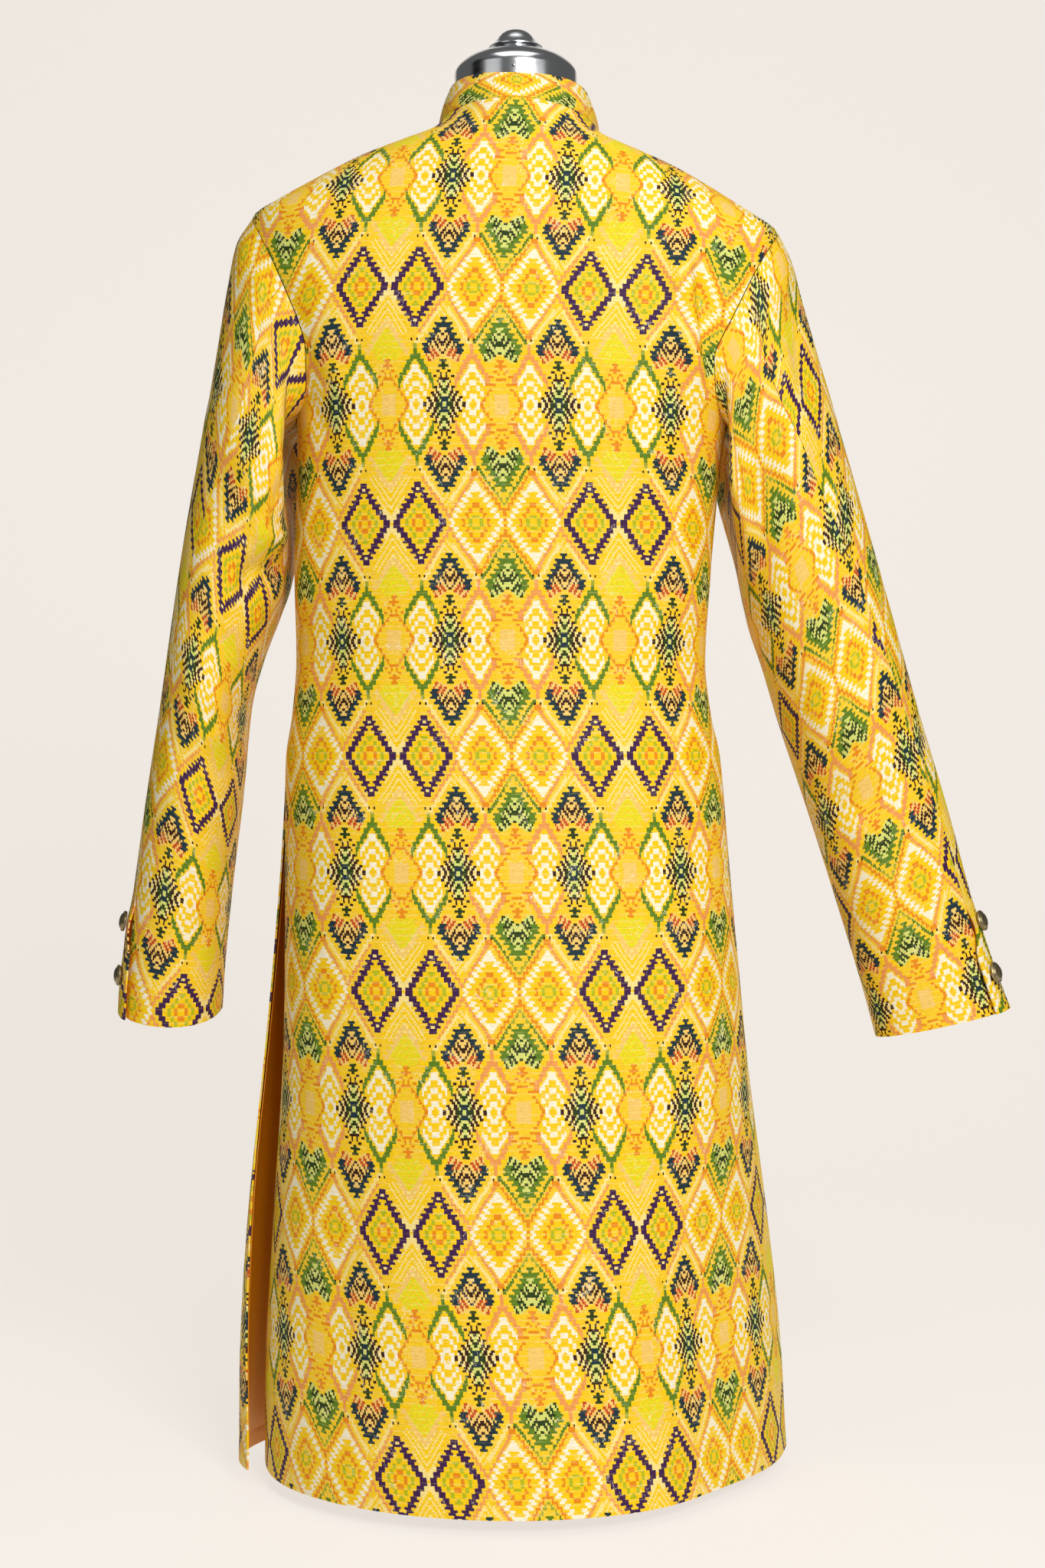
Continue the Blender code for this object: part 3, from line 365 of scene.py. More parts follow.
def fold_height(a, b, folds, scale_a=1.0):
    """Height of the folds at the place a, b. Each is highest halfway along and dies out at its ends."""
    total = np.zeros(np.shape(a))
    for a0, b0, a1, b1, half_width, height in folds:
        da, db = (a1 - a0) * scale_a, b1 - b0
        length = math.hypot(da, db)
        along = ((a - a0) * scale_a * da + (b - b0) * db) / length**2
        across = ((a - a0) * scale_a * db - (b - b0) * da) / length
        ends = ease(2.6 * along) * ease(2.6 * (1 - along))
        total = total + height * np.exp(-((across / half_width) ** 2)) * ends
    return total


def path_length(points):
    return np.concatenate([[0.0], np.cumsum(np.linalg.norm(np.diff(points, axis=0), axis=1))])


def armhole(sign, count):
    rough = np.array(BACK_ARMHOLE if sign < 0 else FRONT_ARMHOLE)
    length = path_length(rough)
    at = np.linspace(0, length[-1], count)
    return np.stack([smooth_read(length, rough[:, 0], at), smooth_read(length, rough[:, 1], at)], axis=1)


def neckline(sign, share):
    turn = share * math.pi / 2
    x = float(body("half_width", NECK_Z)) * np.sin(turn)
    centre = NECK_BACK_Z if sign < 0 else NECK_FRONT_Z
    return x, NECK_Z + (centre - NECK_Z) * np.cos(turn) ** 1.3


def half_panel(sign, columns):
    """Grid of z and angle for half a body panel, from the centre to the right side.

    The last column is the side seam, then the armhole. The top row is the neck edge, then the
    shoulder seam. Rows and columns between them are blended from these four edges.
    """
    share = np.linspace(0, 1, columns + 1)
    start_angle = sign * (1 - share) * math.pi / 2
    bottom = skin(np.full(columns + 1, ARMPIT_Z), start_angle)[:, [0, 2]]
    side = armhole(sign, 80)
    top = np.zeros((columns + 1, 2))
    ridge_z = np.linspace(NECK_Z, TIP_Z, 60)
    rough = np.stack([body("half_width", ridge_z), ridge_z], axis=1)
    length = path_length(rough)
    at = np.linspace(0, length[-1], columns - NECK_COLUMNS + 1)
    ridge = np.stack([np.interp(at, length, rough[:, k]) for k in range(2)], axis=1)
    for i in range(columns + 1):
        top[i] = neckline(sign, i / NECK_COLUMNS) if i <= NECK_COLUMNS else ridge[i - NECK_COLUMNS]
    fine = np.linspace(0, 1, 80)
    centre = np.stack([np.zeros(80), ARMPIT_Z + (top[0, 1] - ARMPIT_Z) * fine], axis=1)
    z_grid = np.zeros((SKIRT_ROWS + YOKE_ROWS + 1, columns + 1))
    angle_grid = np.zeros_like(z_grid)
    skirt = HEM_Z + (ARMPIT_Z - HEM_Z) * np.linspace(0, 1, SKIRT_ROWS + 1)
    for i, s in enumerate(share):
        w = fine[:, None]
        flat = (1 - w) * bottom[i] + w * top[i] + (1 - s) * centre + s * side
        corner = (1 - s) * ((1 - w) * bottom[0] + w * top[0]) + s * ((1 - w) * bottom[-1] + w * top[-1])
        x, z = (flat - corner).T
        angle = angle_at(np.maximum(x, 0), z, sign)
        line = skin(z, angle)
        length = path_length(line)
        at = np.linspace(0, length[-1], YOKE_ROWS + 1)
        z_grid[:SKIRT_ROWS + 1, i] = skirt
        angle_grid[:SKIRT_ROWS + 1, i] = start_angle[i]
        z_grid[SKIRT_ROWS:, i] = np.interp(at, length, z)
        angle_grid[SKIRT_ROWS:, i] = np.interp(at, length, angle)
    return z_grid, angle_grid


def slit_share(z, ramp):
    """0 at the slit's top and above it, 1 from the ramp's height below it."""
    return ease((SLIT_Z - z) / ramp)


def beside_slit(angle):
    """1 at the side, dying out away from it."""
    from_side = np.abs(np.arcsin(np.sin(angle))) * SIDE_RADIUS
    return np.exp(-((from_side / SLIT_SPREAD) ** 2))


def edge_fade(rows, columns):
    """1 inside a panel and 0 along its edges, so that seams stay together."""
    r = np.arange(rows)[:, None]
    c = np.arange(columns)[None, :]
    to_edge = np.minimum(np.minimum(r, rows - 1 - r), np.minimum(c, columns - 1 - c))
    return ease(to_edge / EDGE_MARGIN)


def soft_waves(u, v, size):
    """Low uneven waves of hanging cloth."""
    return size * (
        np.sin(u * 23 + 1.3 * np.sin(v * 9)) * np.sin(v * 14 + 0.7) * 0.5
        + np.sin(u * 47 - v * 19 + 2.0) * 0.25
        + np.sin(u * 11 + v * 31 + 0.4) * 0.25
    )


# Where the body's sections are measured for the print's place on the cloth
SECTION_Z = np.linspace(HEM_Z, NECK_BACK_Z, 220)
SECTION_ANGLES = np.linspace(0, math.pi / 2, 61)
SECTION_X = np.linspace(0, 0.215, 44)
MOST_TURN = 1.15        # shares past the side that are still measured
MOST_WIDTH = 0.985      # a share of the half width: beyond it the surface is too steep to measure upward
MOST_BULGE = 0.012      # the most that a section's depth adds to a step up


def between(table, row, row_share, column, column_share):
    """Reads a table between four of its values."""
    return (
        table[row, column] * (1 - row_share) * (1 - column_share)
        + table[row + 1, column] * row_share * (1 - column_share)
        + table[row, column + 1] * (1 - row_share) * column_share
        + table[row + 1, column + 1] * row_share * column_share
    )


def cloth_place(z, angle, sign):
    """Place on the cloth of a body panel, in metres: across from the centre line and up from the hem."""
    z_mesh, turn = np.meshgrid(SECTION_Z, SECTION_ANGLES, indexing="ij")
    ring = skin(z_mesh, sign * (math.pi / 2 - turn))
    steps = np.linalg.norm(np.diff(ring, axis=1), axis=2)
    across = np.concatenate([np.zeros((len(SECTION_Z), 1)), np.cumsum(steps, axis=1)], axis=1)
    turned = np.mod(angle - sign * math.pi / 2 + math.pi, 2 * math.pi) - math.pi
    off_centre = np.where(np.cos(angle) >= 0, 1, -1) * np.abs(turned)
    share = np.clip(np.abs(off_centre) / (math.pi / 2), 0, MOST_TURN) * (len(SECTION_ANGLES) - 1)
    row = (np.clip(z, SECTION_Z[0], SECTION_Z[-1]) - SECTION_Z[0]) / (SECTION_Z[1] - SECTION_Z[0])
    r0 = np.clip(row.astype(int), 0, len(SECTION_Z) - 2)
    c0 = np.clip(share.astype(int), 0, len(SECTION_ANGLES) - 2)
    u = between(across, r0, row - r0, c0, share - c0)
    # up: length of the section at a constant distance from the centre
    x_mesh, z_line = np.meshgrid(SECTION_X, SECTION_Z, indexing="ij")
    inside = np.minimum(x_mesh / body("half_width", z_line), MOST_WIDTH)
    power = body("roundness", z_line)
    depth = body("back" if sign < 0 else "front", z_line) * (1 - inside**power) ** (1 / power)
    bulge = np.minimum(np.abs(np.diff(depth, axis=1)), MOST_BULGE)
    rise = np.sqrt(np.diff(z_line, axis=1) ** 2 + bulge**2)
    up = np.concatenate([np.zeros((len(SECTION_X), 1)), np.cumsum(rise, axis=1)], axis=1)
    level = np.argmin(np.abs(SECTION_Z - SLIT_Z))
    up += up[0, level] - up[:, level:level + 1]
    x = np.abs(skin(z, angle)[..., 0])
    column = np.clip(x / (SECTION_X[1] - SECTION_X[0]), 0, len(SECTION_X) - 1.001)
    k0 = column.astype(int)
    v = between(up, k0, column - k0, r0, row - r0)
    drift = np.array(PRINT_DRIFT)
    u = np.sign(off_centre) * u - np.interp(z, drift[:, 0], drift[:, 1])
    zero = np.interp(DIAMOND_ROW_Z, SECTION_Z, up[0])
    return np.stack([u, v - zero], axis=-1)


def back_sheet():
    z, angle = half_panel(-1, BACK_COLUMNS // 2)
    z = np.concatenate([z[:, :0:-1], z], axis=1)
    angle = np.concatenate([-math.pi - angle[:, :0:-1], angle], axis=1)
    points, normal = skin(z, angle), skin_normal(z, angle)
    height = fold_height(points[..., 0], z, BACK_FOLDS) * ease(points[..., 1] / FOLD_FADE_Y)
    left_in = -SLIT_IN * slit_share(z, BACK_RAMP)
    right_out = RIGHT_BACK_OUT * slit_share(z, FRONT_RAMP)
    height = height + np.where(np.cos(angle) > 0, right_out, left_in) * beside_slit(angle)
    fine = fold_height(points[..., 0], z, BACK_CREASES) + soft_waves(points[..., 0], z, WAVE)
    height = height + fine * edge_fade(*z.shape)
    outer = points + normal * height[..., None]
    outer[..., 1] -= SEAM / 2
    return outer, normal, cloth_place(z, angle, -1)


def front_sheet(side):
    z, angle = half_panel(1, FRONT_COLUMNS)
    reach = RIGHT_REACH if side > 0 else LEFT_REACH
    ramp = slit_share(z, FRONT_RAMP) if side > 0 else ease((LEFT_REACH_Z - z) / LEFT_RAMP)
    angle = math.pi / 2 - (math.pi / 2 - angle) * (1 + reach * ramp / (math.pi / 2))
    extra = 2 * FINER
    beyond = np.stack([
        angle_at(np.full(len(z), -OVERLAP * k / extra), z[:, 0], 1) for k in range(extra, 0, -1)
    ], axis=1)
    angle = np.concatenate([beyond, angle], axis=1)
    z = np.concatenate([z[:, :1]] * extra + [z], axis=1)
    points, normal = skin(z, angle), skin_normal(z, angle)
    if side > 0:
        height = -UNDERLAP_STEP * ease((UNDERLAP_EDGE - points[..., 0]) / UNDERLAP_SLOPE)
    else:
        height = SLIT_OUT * slit_share(z, FRONT_RAMP) * beside_slit(angle)
    inner_part = edge_fade(*z.shape) * ease((points[..., 0] - FRONT_WAVE_EDGE) / FRONT_WAVE_RAMP)
    height = height + soft_waves(points[..., 0] * side, z + 0.3, WAVE) * inner_part
    outer = points + normal * height[..., None]
    mirror = np.array([side, 1.0, 1.0])
    place = cloth_place(z, angle, 1) * np.array([side, 1.0])
    outer, normal = outer * mirror, normal * mirror
    outer[..., 1] += SEAM / 2
    return outer, normal, place


def lining_sheet(side):
    """Lining of a front skirt beside its slit, laid on the front's inner face."""
    outer, normal, place = front_sheet(side)
    rows = int(np.sum(outer[:, -1, 2] < SLIT_Z - LINING_DROP))
    columns = 4 * FINER + 1
    outer, normal = outer[:rows, -columns:].copy(), normal[:rows, -columns:].copy()
    outer[:, -1] += (outer[:, -2] - outer[:, -1]) * 0.5
    outer[:2] += [0, 0, LINING_RISE]
    return outer - normal * (CLOTH + LINING_GAP), normal, place[:rows, -columns:]


def armhole_loop(side):
    back = back_sheet()[0]
    front = front_sheet(side)[0]
    behind = back[SKIRT_ROWS:, -1 if side > 0 else 0]
    before = front[SKIRT_ROWS:, -1]
    return np.concatenate([behind[::-1], before[1:-1]])


def steps_round(points):
    """At each point of a closed grid, the way from the column before it to the one after it."""
    steps = np.empty_like(points)
    steps[:, 1:-1] = points[:, 2:] - points[:, :-2]
    steps[:, 0] = steps[:, -1] = points[:, 1] - points[:, -2]
    return steps


def grid_normals(points):
    return unit(np.cross(steps_round(points), np.gradient(points, axis=0)))


def sleeve_grid(side):
    """Points and normals of a whole sleeve. Columns start at the elbow seam and end there again."""
    if side > 0:
        outer_line, inner_line, depth, drop = RIGHT_OUTER, RIGHT_INNER, RIGHT_DEPTH, RIGHT_CUFF_DROP
        big_folds, creases = RIGHT_SLEEVE_FOLDS, RIGHT_SLEEVE_CREASES
    else:
        outer_line, inner_line, depth, drop = LEFT_OUTER, LEFT_INNER, LEFT_DEPTH, LEFT_CUFF_DROP
        big_folds, creases = LEFT_SLEEVE_FOLDS, LEFT_SLEEVE_CREASES
    loop = armhole_loop(side) * np.array([side, 1.0, 1.0])
    along = np.linspace(0, 1, SLEEVE_ROWS + 1) ** ROW_BUNCHING
    back_seam = SEAM_BACK[0] + (SEAM_BACK[1] - SEAM_BACK[0]) * ease(along / SEAM_SHARE)
    inner_seam = SEAM_INNER[0] + (SEAM_INNER[1] - SEAM_INNER[0]) * ease(along / SEAM_SHARE)
    first = np.linspace(0, 1, UNDER_COLUMNS + 1)
    second = np.linspace(0, 1, TOP_COLUMNS + 1)[1:]
    angle = np.concatenate([
        back_seam[:, None] + (inner_seam - back_seam)[:, None] * first,
        inner_seam[:, None] + (back_seam + 2 * math.pi - inner_seam)[:, None] * second,
    ], axis=1)
    u = np.broadcast_to(along[:, None], angle.shape)

    def ring(u, angle):
        zo = TIP_Z + (outer_line[0][0] - TIP_Z) * u
        zi = ARMPIT_Z + (inner_line[0][0] - ARMPIT_Z) * u
        xo = smooth_read(*np.array(outer_line).T, zo)
        xi = smooth_read(*np.array(inner_line).T, zi)
        d = np.array(depth)
        back, front, middle = (smooth_read(d[:, 0], d[:, k], u) for k in (1, 2, 3))
        cosine, sine = np.cos(angle), np.sin(angle)
        share = (1 + np.sign(cosine) * np.abs(cosine) ** SLEEVE_BULGE) / 2
        y = middle - np.where(sine > 0, back, front) * np.sign(sine) * np.abs(sine) ** SLEEVE_BULGE
        z = zi + (zo - zi) * share - u**4 * np.where(sine > 0, drop[0], -drop[1]) * sine
        return np.stack([xi + (xo - xi) * share, y, z], axis=-1)

    count = len(loop)
    steps = np.linspace(0, 2 * math.pi, count + 1)
    difference = np.concatenate([loop, loop[:1]]) - ring(np.zeros(count + 1), steps)
    turned = np.mod(angle, 2 * math.pi)
    fade = (1 - ease(u / ARMHOLE_SHARE))[..., None]
    shift = np.stack([np.interp(turned, steps, difference[:, k]) for k in range(3)], axis=-1)
    points = ring(u, angle) + shift * fade

    def laid(folds):
        return [
            (a0 * SLEEVE_LENGTH, math.radians(b0) * SLEEVE_RADIUS, a1 * SLEEVE_LENGTH,
             math.radians(b1) * SLEEVE_RADIUS, half, height)
            for a0, b0, a1, b1, half, height in folds
        ]

    normal = grid_normals(points)
    height = fold_height(u * SLEEVE_LENGTH, turned * SLEEVE_RADIUS, laid(big_folds))
    height = height * ease(u / SLEEVE_FOLD_START)
    fine = fold_height(u * SLEEVE_LENGTH, turned * SLEEVE_RADIUS, laid(creases))
    fine = fine + soft_waves(turned * SLEEVE_RADIUS * 0.8, u * SLEEVE_LENGTH + side * 0.2, SLEEVE_WAVE)
    seam_near = np.minimum(np.abs(angle - back_seam[:, None]), np.abs(angle - inner_seam[:, None]))
    seam_near = np.minimum(seam_near, np.abs(angle - back_seam[:, None] - 2 * math.pi))
    ends = ease(u / CREASE_START) * ease((1 - u) / CREASE_END)
    points = points + normal * (height + fine * ends * ease(seam_near / CREASE_SEAM))[..., None]
    normal = grid_normals(points)
    points[0] += unit(points[1] - points[0]) * 2 * SEAM
    across = np.linalg.norm(np.diff(points, axis=1), axis=2)
    round_cloth = np.concatenate([np.zeros((len(along), 1)), np.cumsum(across, axis=1)], axis=1)
    middle = np.array([np.interp(math.pi / 2, angle[i], round_cloth[i]) for i in range(len(along))])
    down = np.linalg.norm(np.diff(points, axis=0), axis=2).mean(axis=1)
    down = np.concatenate([[0.0], np.cumsum(down)])
    place = np.stack([round_cloth - middle[:, None], np.broadcast_to(-down[:, None], angle.shape)], axis=-1)
    mirror = np.array([side, 1.0, 1.0])
    moved = np.array(RIGHT_SLEEVE_PRINT if side > 0 else LEFT_SLEEVE_PRINT)
    return points * mirror, normal * mirror, along, place * np.array([-side, 1.0]) + moved


def sleeve_sheets(side):
    """The under and the top sleeve, with the top one lapped over at the cuff slit."""
    points, normal, along, place = sleeve_grid(side)
    tangent = unit(steps_round(points))
    lower, lower_normal = points[:, :UNDER_COLUMNS + 1].copy(), normal[:, :UNDER_COLUMNS + 1]
    upper, upper_normal = points[:, UNDER_COLUMNS:].copy(), normal[:, UNDER_COLUMNS:]
    lower[:, 0] += tangent[:, 0] * SEAM / 2
    lower[:, -1] -= tangent[:, UNDER_COLUMNS] * SEAM / 2
    upper[:, 0] += tangent[:, UNDER_COLUMNS] * SEAM / 2
    upper[:, -1] -= tangent[:, -1] * SEAM / 2
    open_share = (along - (1 - CUFF_SLIT)) / CUFF_SLIT_RAMP
    near_edge = np.exp(-((np.arange(upper.shape[1] - 1, -1, -1) / (CUFF_EDGE_COLUMNS * FINER)) ** 2))
    raised = (ease(open_share / 0.5)[:, None] * near_edge)[..., None]
    lapped = (ease((open_share - 0.5) / 0.5)[:, None] * near_edge)[..., None]
    upper = upper + upper_normal * CUFF_LIFT * raised + tangent[:, UNDER_COLUMNS:] * CUFF_LAP * lapped
    return (
        (lower, lower_normal, place[:, :UNDER_COLUMNS + 1]),
        (upper, upper_normal, place[:, UNDER_COLUMNS:]),
    )


def collar_sheet():
    """Stand-up collar from the right front corner round the back to the left, as rows up it."""
    edges = []
    for sign, columns in ((1, FRONT_COLUMNS), (-1, BACK_COLUMNS // 2)):
        z, angle = half_panel(sign, columns)
        edges.append((z[-1, :NECK_COLUMNS + 1], angle[-1, :NECK_COLUMNS + 1]))
    z = np.concatenate([edges[0][0], edges[1][0][-2::-1]])
    angle = np.concatenate([edges[0][1], edges[1][1][-2::-1]])
    right = skin(z, angle)
    right[0, 0] = COLLAR_OPENING / 2
    mirror = np.array([-1.0, 1.0, 1.0])
    points = np.concatenate([right, (right * mirror)[-2::-1]])
    backward = np.clip(-points[:, 1] / NECK_DEPTH, 0, 1)
    lean = np.radians(COLLAR_LEAN_SIDE + (COLLAR_LEAN_BACK - COLLAR_LEAN_SIDE) * backward**2)[:, None]
    inward = unit(-points * [1, 1, 0])
    rise = np.array([0.0, 0.0, 1.0]) * np.cos(lean) + inward * np.sin(lean)
    outward = np.array([0.0, 0.0, 1.0]) * np.sin(lean) - inward * np.cos(lean)
    length = path_length(points)
    to_end = np.minimum(length, length[-1] - length)
    short = np.maximum(0, COLLAR_CORNER - to_end)
    full = COLLAR_HEIGHT - COLLAR_CORNER + np.sqrt(COLLAR_CORNER**2 - short**2)
    rows = [points + rise * 1.5 * SEAM]
    shares = np.linspace(0, 1, COLLAR_ROWS + 1)[1:]
    for share in shares:
        bow = COLLAR_BOW * math.sin(math.pi * share) + COLLAR_FLARE * share
        rows.append(points + rise * (full * share)[:, None] + outward * bow)
    heights = np.concatenate([[0.0], shares])[:, None] * COLLAR_HEIGHT
    place = np.stack([
        np.broadcast_to(heights, (len(rows), len(points))),
        np.broadcast_to(length - length[-1] / 2, (len(rows), len(points))),
    ], axis=-1)
    normal = np.broadcast_to(outward, (len(rows), *outward.shape))
    return np.array(rows), normal, place


# Making the pieces

def deselect():
    bpy.ops.object.select_all(action="DESELECT")


def apply_all(piece):
    deselect()
    piece.select_set(True)
    bpy.context.view_layer.objects.active = piece
    for modifier in list(piece.modifiers):
        bpy.ops.object.modifier_apply(modifier=modifier.name)


def settle(piece, angle=40):
    """Puts the finished piece's place into its mesh and shades it."""
    apply_all(piece)
    bpy.ops.object.transform_apply(location=True, rotation=True, scale=True)
    bpy.ops.object.shade_smooth_by_angle(angle=math.radians(angle))
    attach(piece, "root")


def mesh_points(mesh):
    co = np.empty(len(mesh.vertices) * 3)
    mesh.vertices.foreach_get("co", co)
    return co.reshape(-1, 3)


def cloth_piece(name, sheet, thickness, materials, lowest_turned=0.0):
    """A thin shell of cloth from a grid of points with its own place on the cloth as UV."""
    points, normal, place = sheet
    rows, columns = points.shape[:2]
    hung = hang(points, lowest_turned)
    # a little way out along each normal, to tell which way the faces must look
    wanted = hang(points + normal * 0.001, lowest_turned) - hung
    deselect()
    bpy.ops.mesh.primitive_grid_add(x_subdivisions=columns - 1, y_subdivisions=rows - 1, size=1)
    piece = bpy.context.object
    piece.name = piece.data.name = name
    mesh = piece.data
    start = mesh_points(mesh)
    c = np.rint((start[:, 0] + 0.5) * (columns - 1)).astype(int)
    r = np.rint((start[:, 1] + 0.5) * (rows - 1)).astype(int)
    mesh.vertices.foreach_set("co", hung[r, c].ravel())
    corner = np.empty(len(mesh.loops), int)
    mesh.loops.foreach_get("vertex_index", corner)
    mesh.uv_layers[0].name = "cloth"
    mesh.uv_layers[0].data.foreach_set("uv", place[r, c][corner].ravel())
    mesh.update()
    facing = np.empty(len(mesh.polygons) * 3)
    mesh.polygons.foreach_get("normal", facing)
    first = np.array([mesh.loops[p.loop_start].vertex_index for p in mesh.polygons])
    agree = np.einsum("ij,ij->i", facing.reshape(-1, 3), wanted[r, c][first])
    if agree.mean() < 0:
        bpy.ops.object.mode_set(mode="EDIT")
        bpy.ops.mesh.select_all(action="SELECT")
        bpy.ops.mesh.flip_normals()
        bpy.ops.object.mode_set(mode="OBJECT")
    for made in materials:
        mesh.materials.append(made)
    wall = piece.modifiers.new("wall", "SOLIDIFY")
    wall.thickness = thickness
    wall.offset = -1
    wall.use_even_offset = False
    wall.material_offset = 1
    wall.material_offset_rim = 0
    settle(piece, 60)
    return piece


# Materials

def linear(colour):
    """Linear colour from an sRGB hex value."""
    parts = [int(colour[i:i + 2], 16) / 255 for i in (1, 3, 5)]
    return tuple(p / 12.92 if p <= 0.04045 else ((p + 0.055) / 1.055) ** 2.4 for p in parts) + (1.0,)


def feed(tree, node, terms):
    """Gives each socket of a node, by its name or number, its value or its link."""
    for socket, term in terms.items():
        if isinstance(term, bpy.types.NodeSocket):
            tree.links.new(term, node.inputs[socket])
        else:
            node.inputs[socket].default_value = term


def add(tree, kind, terms=None, **settings):
    """Adds a node with its settings and what goes into its sockets."""
    node = tree.nodes.new(kind)
    for name, value in settings.items():
        setattr(node, name, value)
    feed(tree, node, terms or {})
    return node


def maths(tree, operation, *terms):
    return add(tree, "ShaderNodeMath", dict(enumerate(terms)), operation=operation).outputs[0]


def vector_maths(tree, operation, first, second):
    other = "Scale" if operation == "SCALE" else 1
    return add(tree, "ShaderNodeVectorMath", {0: first, other: second}, operation=operation).outputs[0]


def to_and_fro(tree, length, half_repeat):
    """0 to 1 over half a repeat and back to 0 over the other half."""
    return maths(tree, "PINGPONG", maths(tree, "DIVIDE", length, half_repeat), 1.0)


def stretched(tree, place, scale):
    return add(tree, "ShaderNodeMapping", {0: place, 3: scale}).outputs[0]


def noise(tree, place, scale, detail, **more):
    return add(tree, "ShaderNodeTexNoise", {"Vector": place, "Scale": scale, "Detail": detail, **more})


def spread(tree, source, low, high, to_low, to_high):
    """Maps the range from low to high onto the one from to_low to to_high."""
    return add(tree, "ShaderNodeMapRange", {0: source, 1: low, 2: high, 3: to_low, 4: to_high}).outputs[0]


def blend(tree, share, first, second):
    """Mixes two colours."""
    return add(tree, "ShaderNodeMix", {0: share, 6: first, 7: second}, data_type="RGBA").outputs[2]


def bump(tree, height, strength, depth):
    return add(tree, "ShaderNodeBump", {"Height": height, "Strength": strength, "Distance": depth}).outputs[0]


def new_material(name):
    made = bpy.data.materials.new(name)
    made.use_nodes = True
    tree = made.node_tree
    tree.nodes.clear()
    shader = add(tree, "ShaderNodeBsdfPrincipled")
    add(tree, "ShaderNodeOutputMaterial", {"Surface": shader.outputs[0]})
    return made, tree, shader


def split_row(b):
    """Row of blocks that holds the height b, and whether b lies in the half away from the diamonds."""
    raised = b + ROW_RISE
    return math.floor(raised), raised % 1.0 >= 0.5


# Dashes between the diamonds: first row, last row, start, slope in steps for each row, and colour
DASH = 0.97
DASHES = (
    (1, 8, 16.6, -DASH, "s"), (1, 8, 14.6, DASH, "s"), (4, 10, 18.6, -DASH, "e"), (4, 10, 13.4, DASH, "e"),
    (2, 8, -1.36, DASH, "o"),
)


def on_dash(near, row, low, start, slope):
    """Whether a place lies on one of the dashes that step outward by slope with each row."""
    lean = math.copysign(0.2, slope)
    return abs(near - start - slope * row - (lean if low else -lean)) < (0.62 if low else 0.3)


def leaf(d, b, border, dark, hot, pale, ground):
    """A leaf with a stepped border and herringbone inside. d is steps from its axis."""
    row, low = split_row(b)
    if row < 6 or b > 15.2:
        return ground
    if row == 6:
        return border if d < (0.3 if low else 0.8) else ground
    outer = min(2.3 + 0.95 * (row - 7), 5.9) - (0.5 if low else 0.0)
    inner = outer - (1.8 if low else 2.0) if row > 7 else 0.0
    if row <= 12 and inner <= d < outer:
        return border
    if row == 8 and d < 0.8:
        return pale if not low or d < 0.3 else border
    if row < 8 or (row <= 12 and d >= outer):
        return ground
    if b < 12.6 + 0.6 * min(d, 3.0) and d < 5.6 - 0.6 * max(b - 12.2, 0.0):
        if (b + 1.15 * d - 8.75) % 1.85 < 0.95:
            return hot if b > 11.9 and d > 1.2 else dark
        return pale
    return ground


CROSS = (
    (13.7, 14.3, 0.0, 1.0), (13.7, 15.8, 0.0, 0.5), (14.6, 15.3, 0.0, 1.5), (15.6, 16.3, 1.0, 2.0),
    (16.3, 17.2, 0.5, 1.0), (16.6, 17.3, 2.0, 3.0), (17.3, 17.9, 0.0, 1.5), (17.8, 18.4, 0.0, 0.6),
)


def cross_mark(d, b, letter, ground):
    """The small cross, its dots and its hook under a leaf, from the heights and widths in CROSS."""
    for bottom, top, left, right in CROSS:
        if bottom <= b < top and left <= d < right:
            return letter
    return ground


def chevron(d, b, letter, ground):
    """Long chevron of upright streaks."""
    streak = int(d * 2)
    low_edge = 11.4 + 1.15 * d + (0.35 if streak % 2 else 0.0)
    return letter if d < 4.9 and low_edge <= b < low_edge + 1.9 else ground


def lozenge(d, b, ground):
    """Fuzzy white lace between the chevrons: arrows of short upright streaks, one in the other."""
    below = b - 14.6 - 1.05 * d + (0.35 if int(2 * d) % 2 else 0.0)
    if below < 0 or d >= 3.5:
        return ground
    return "w" if below % 2.7 < 1.2 else "Y"


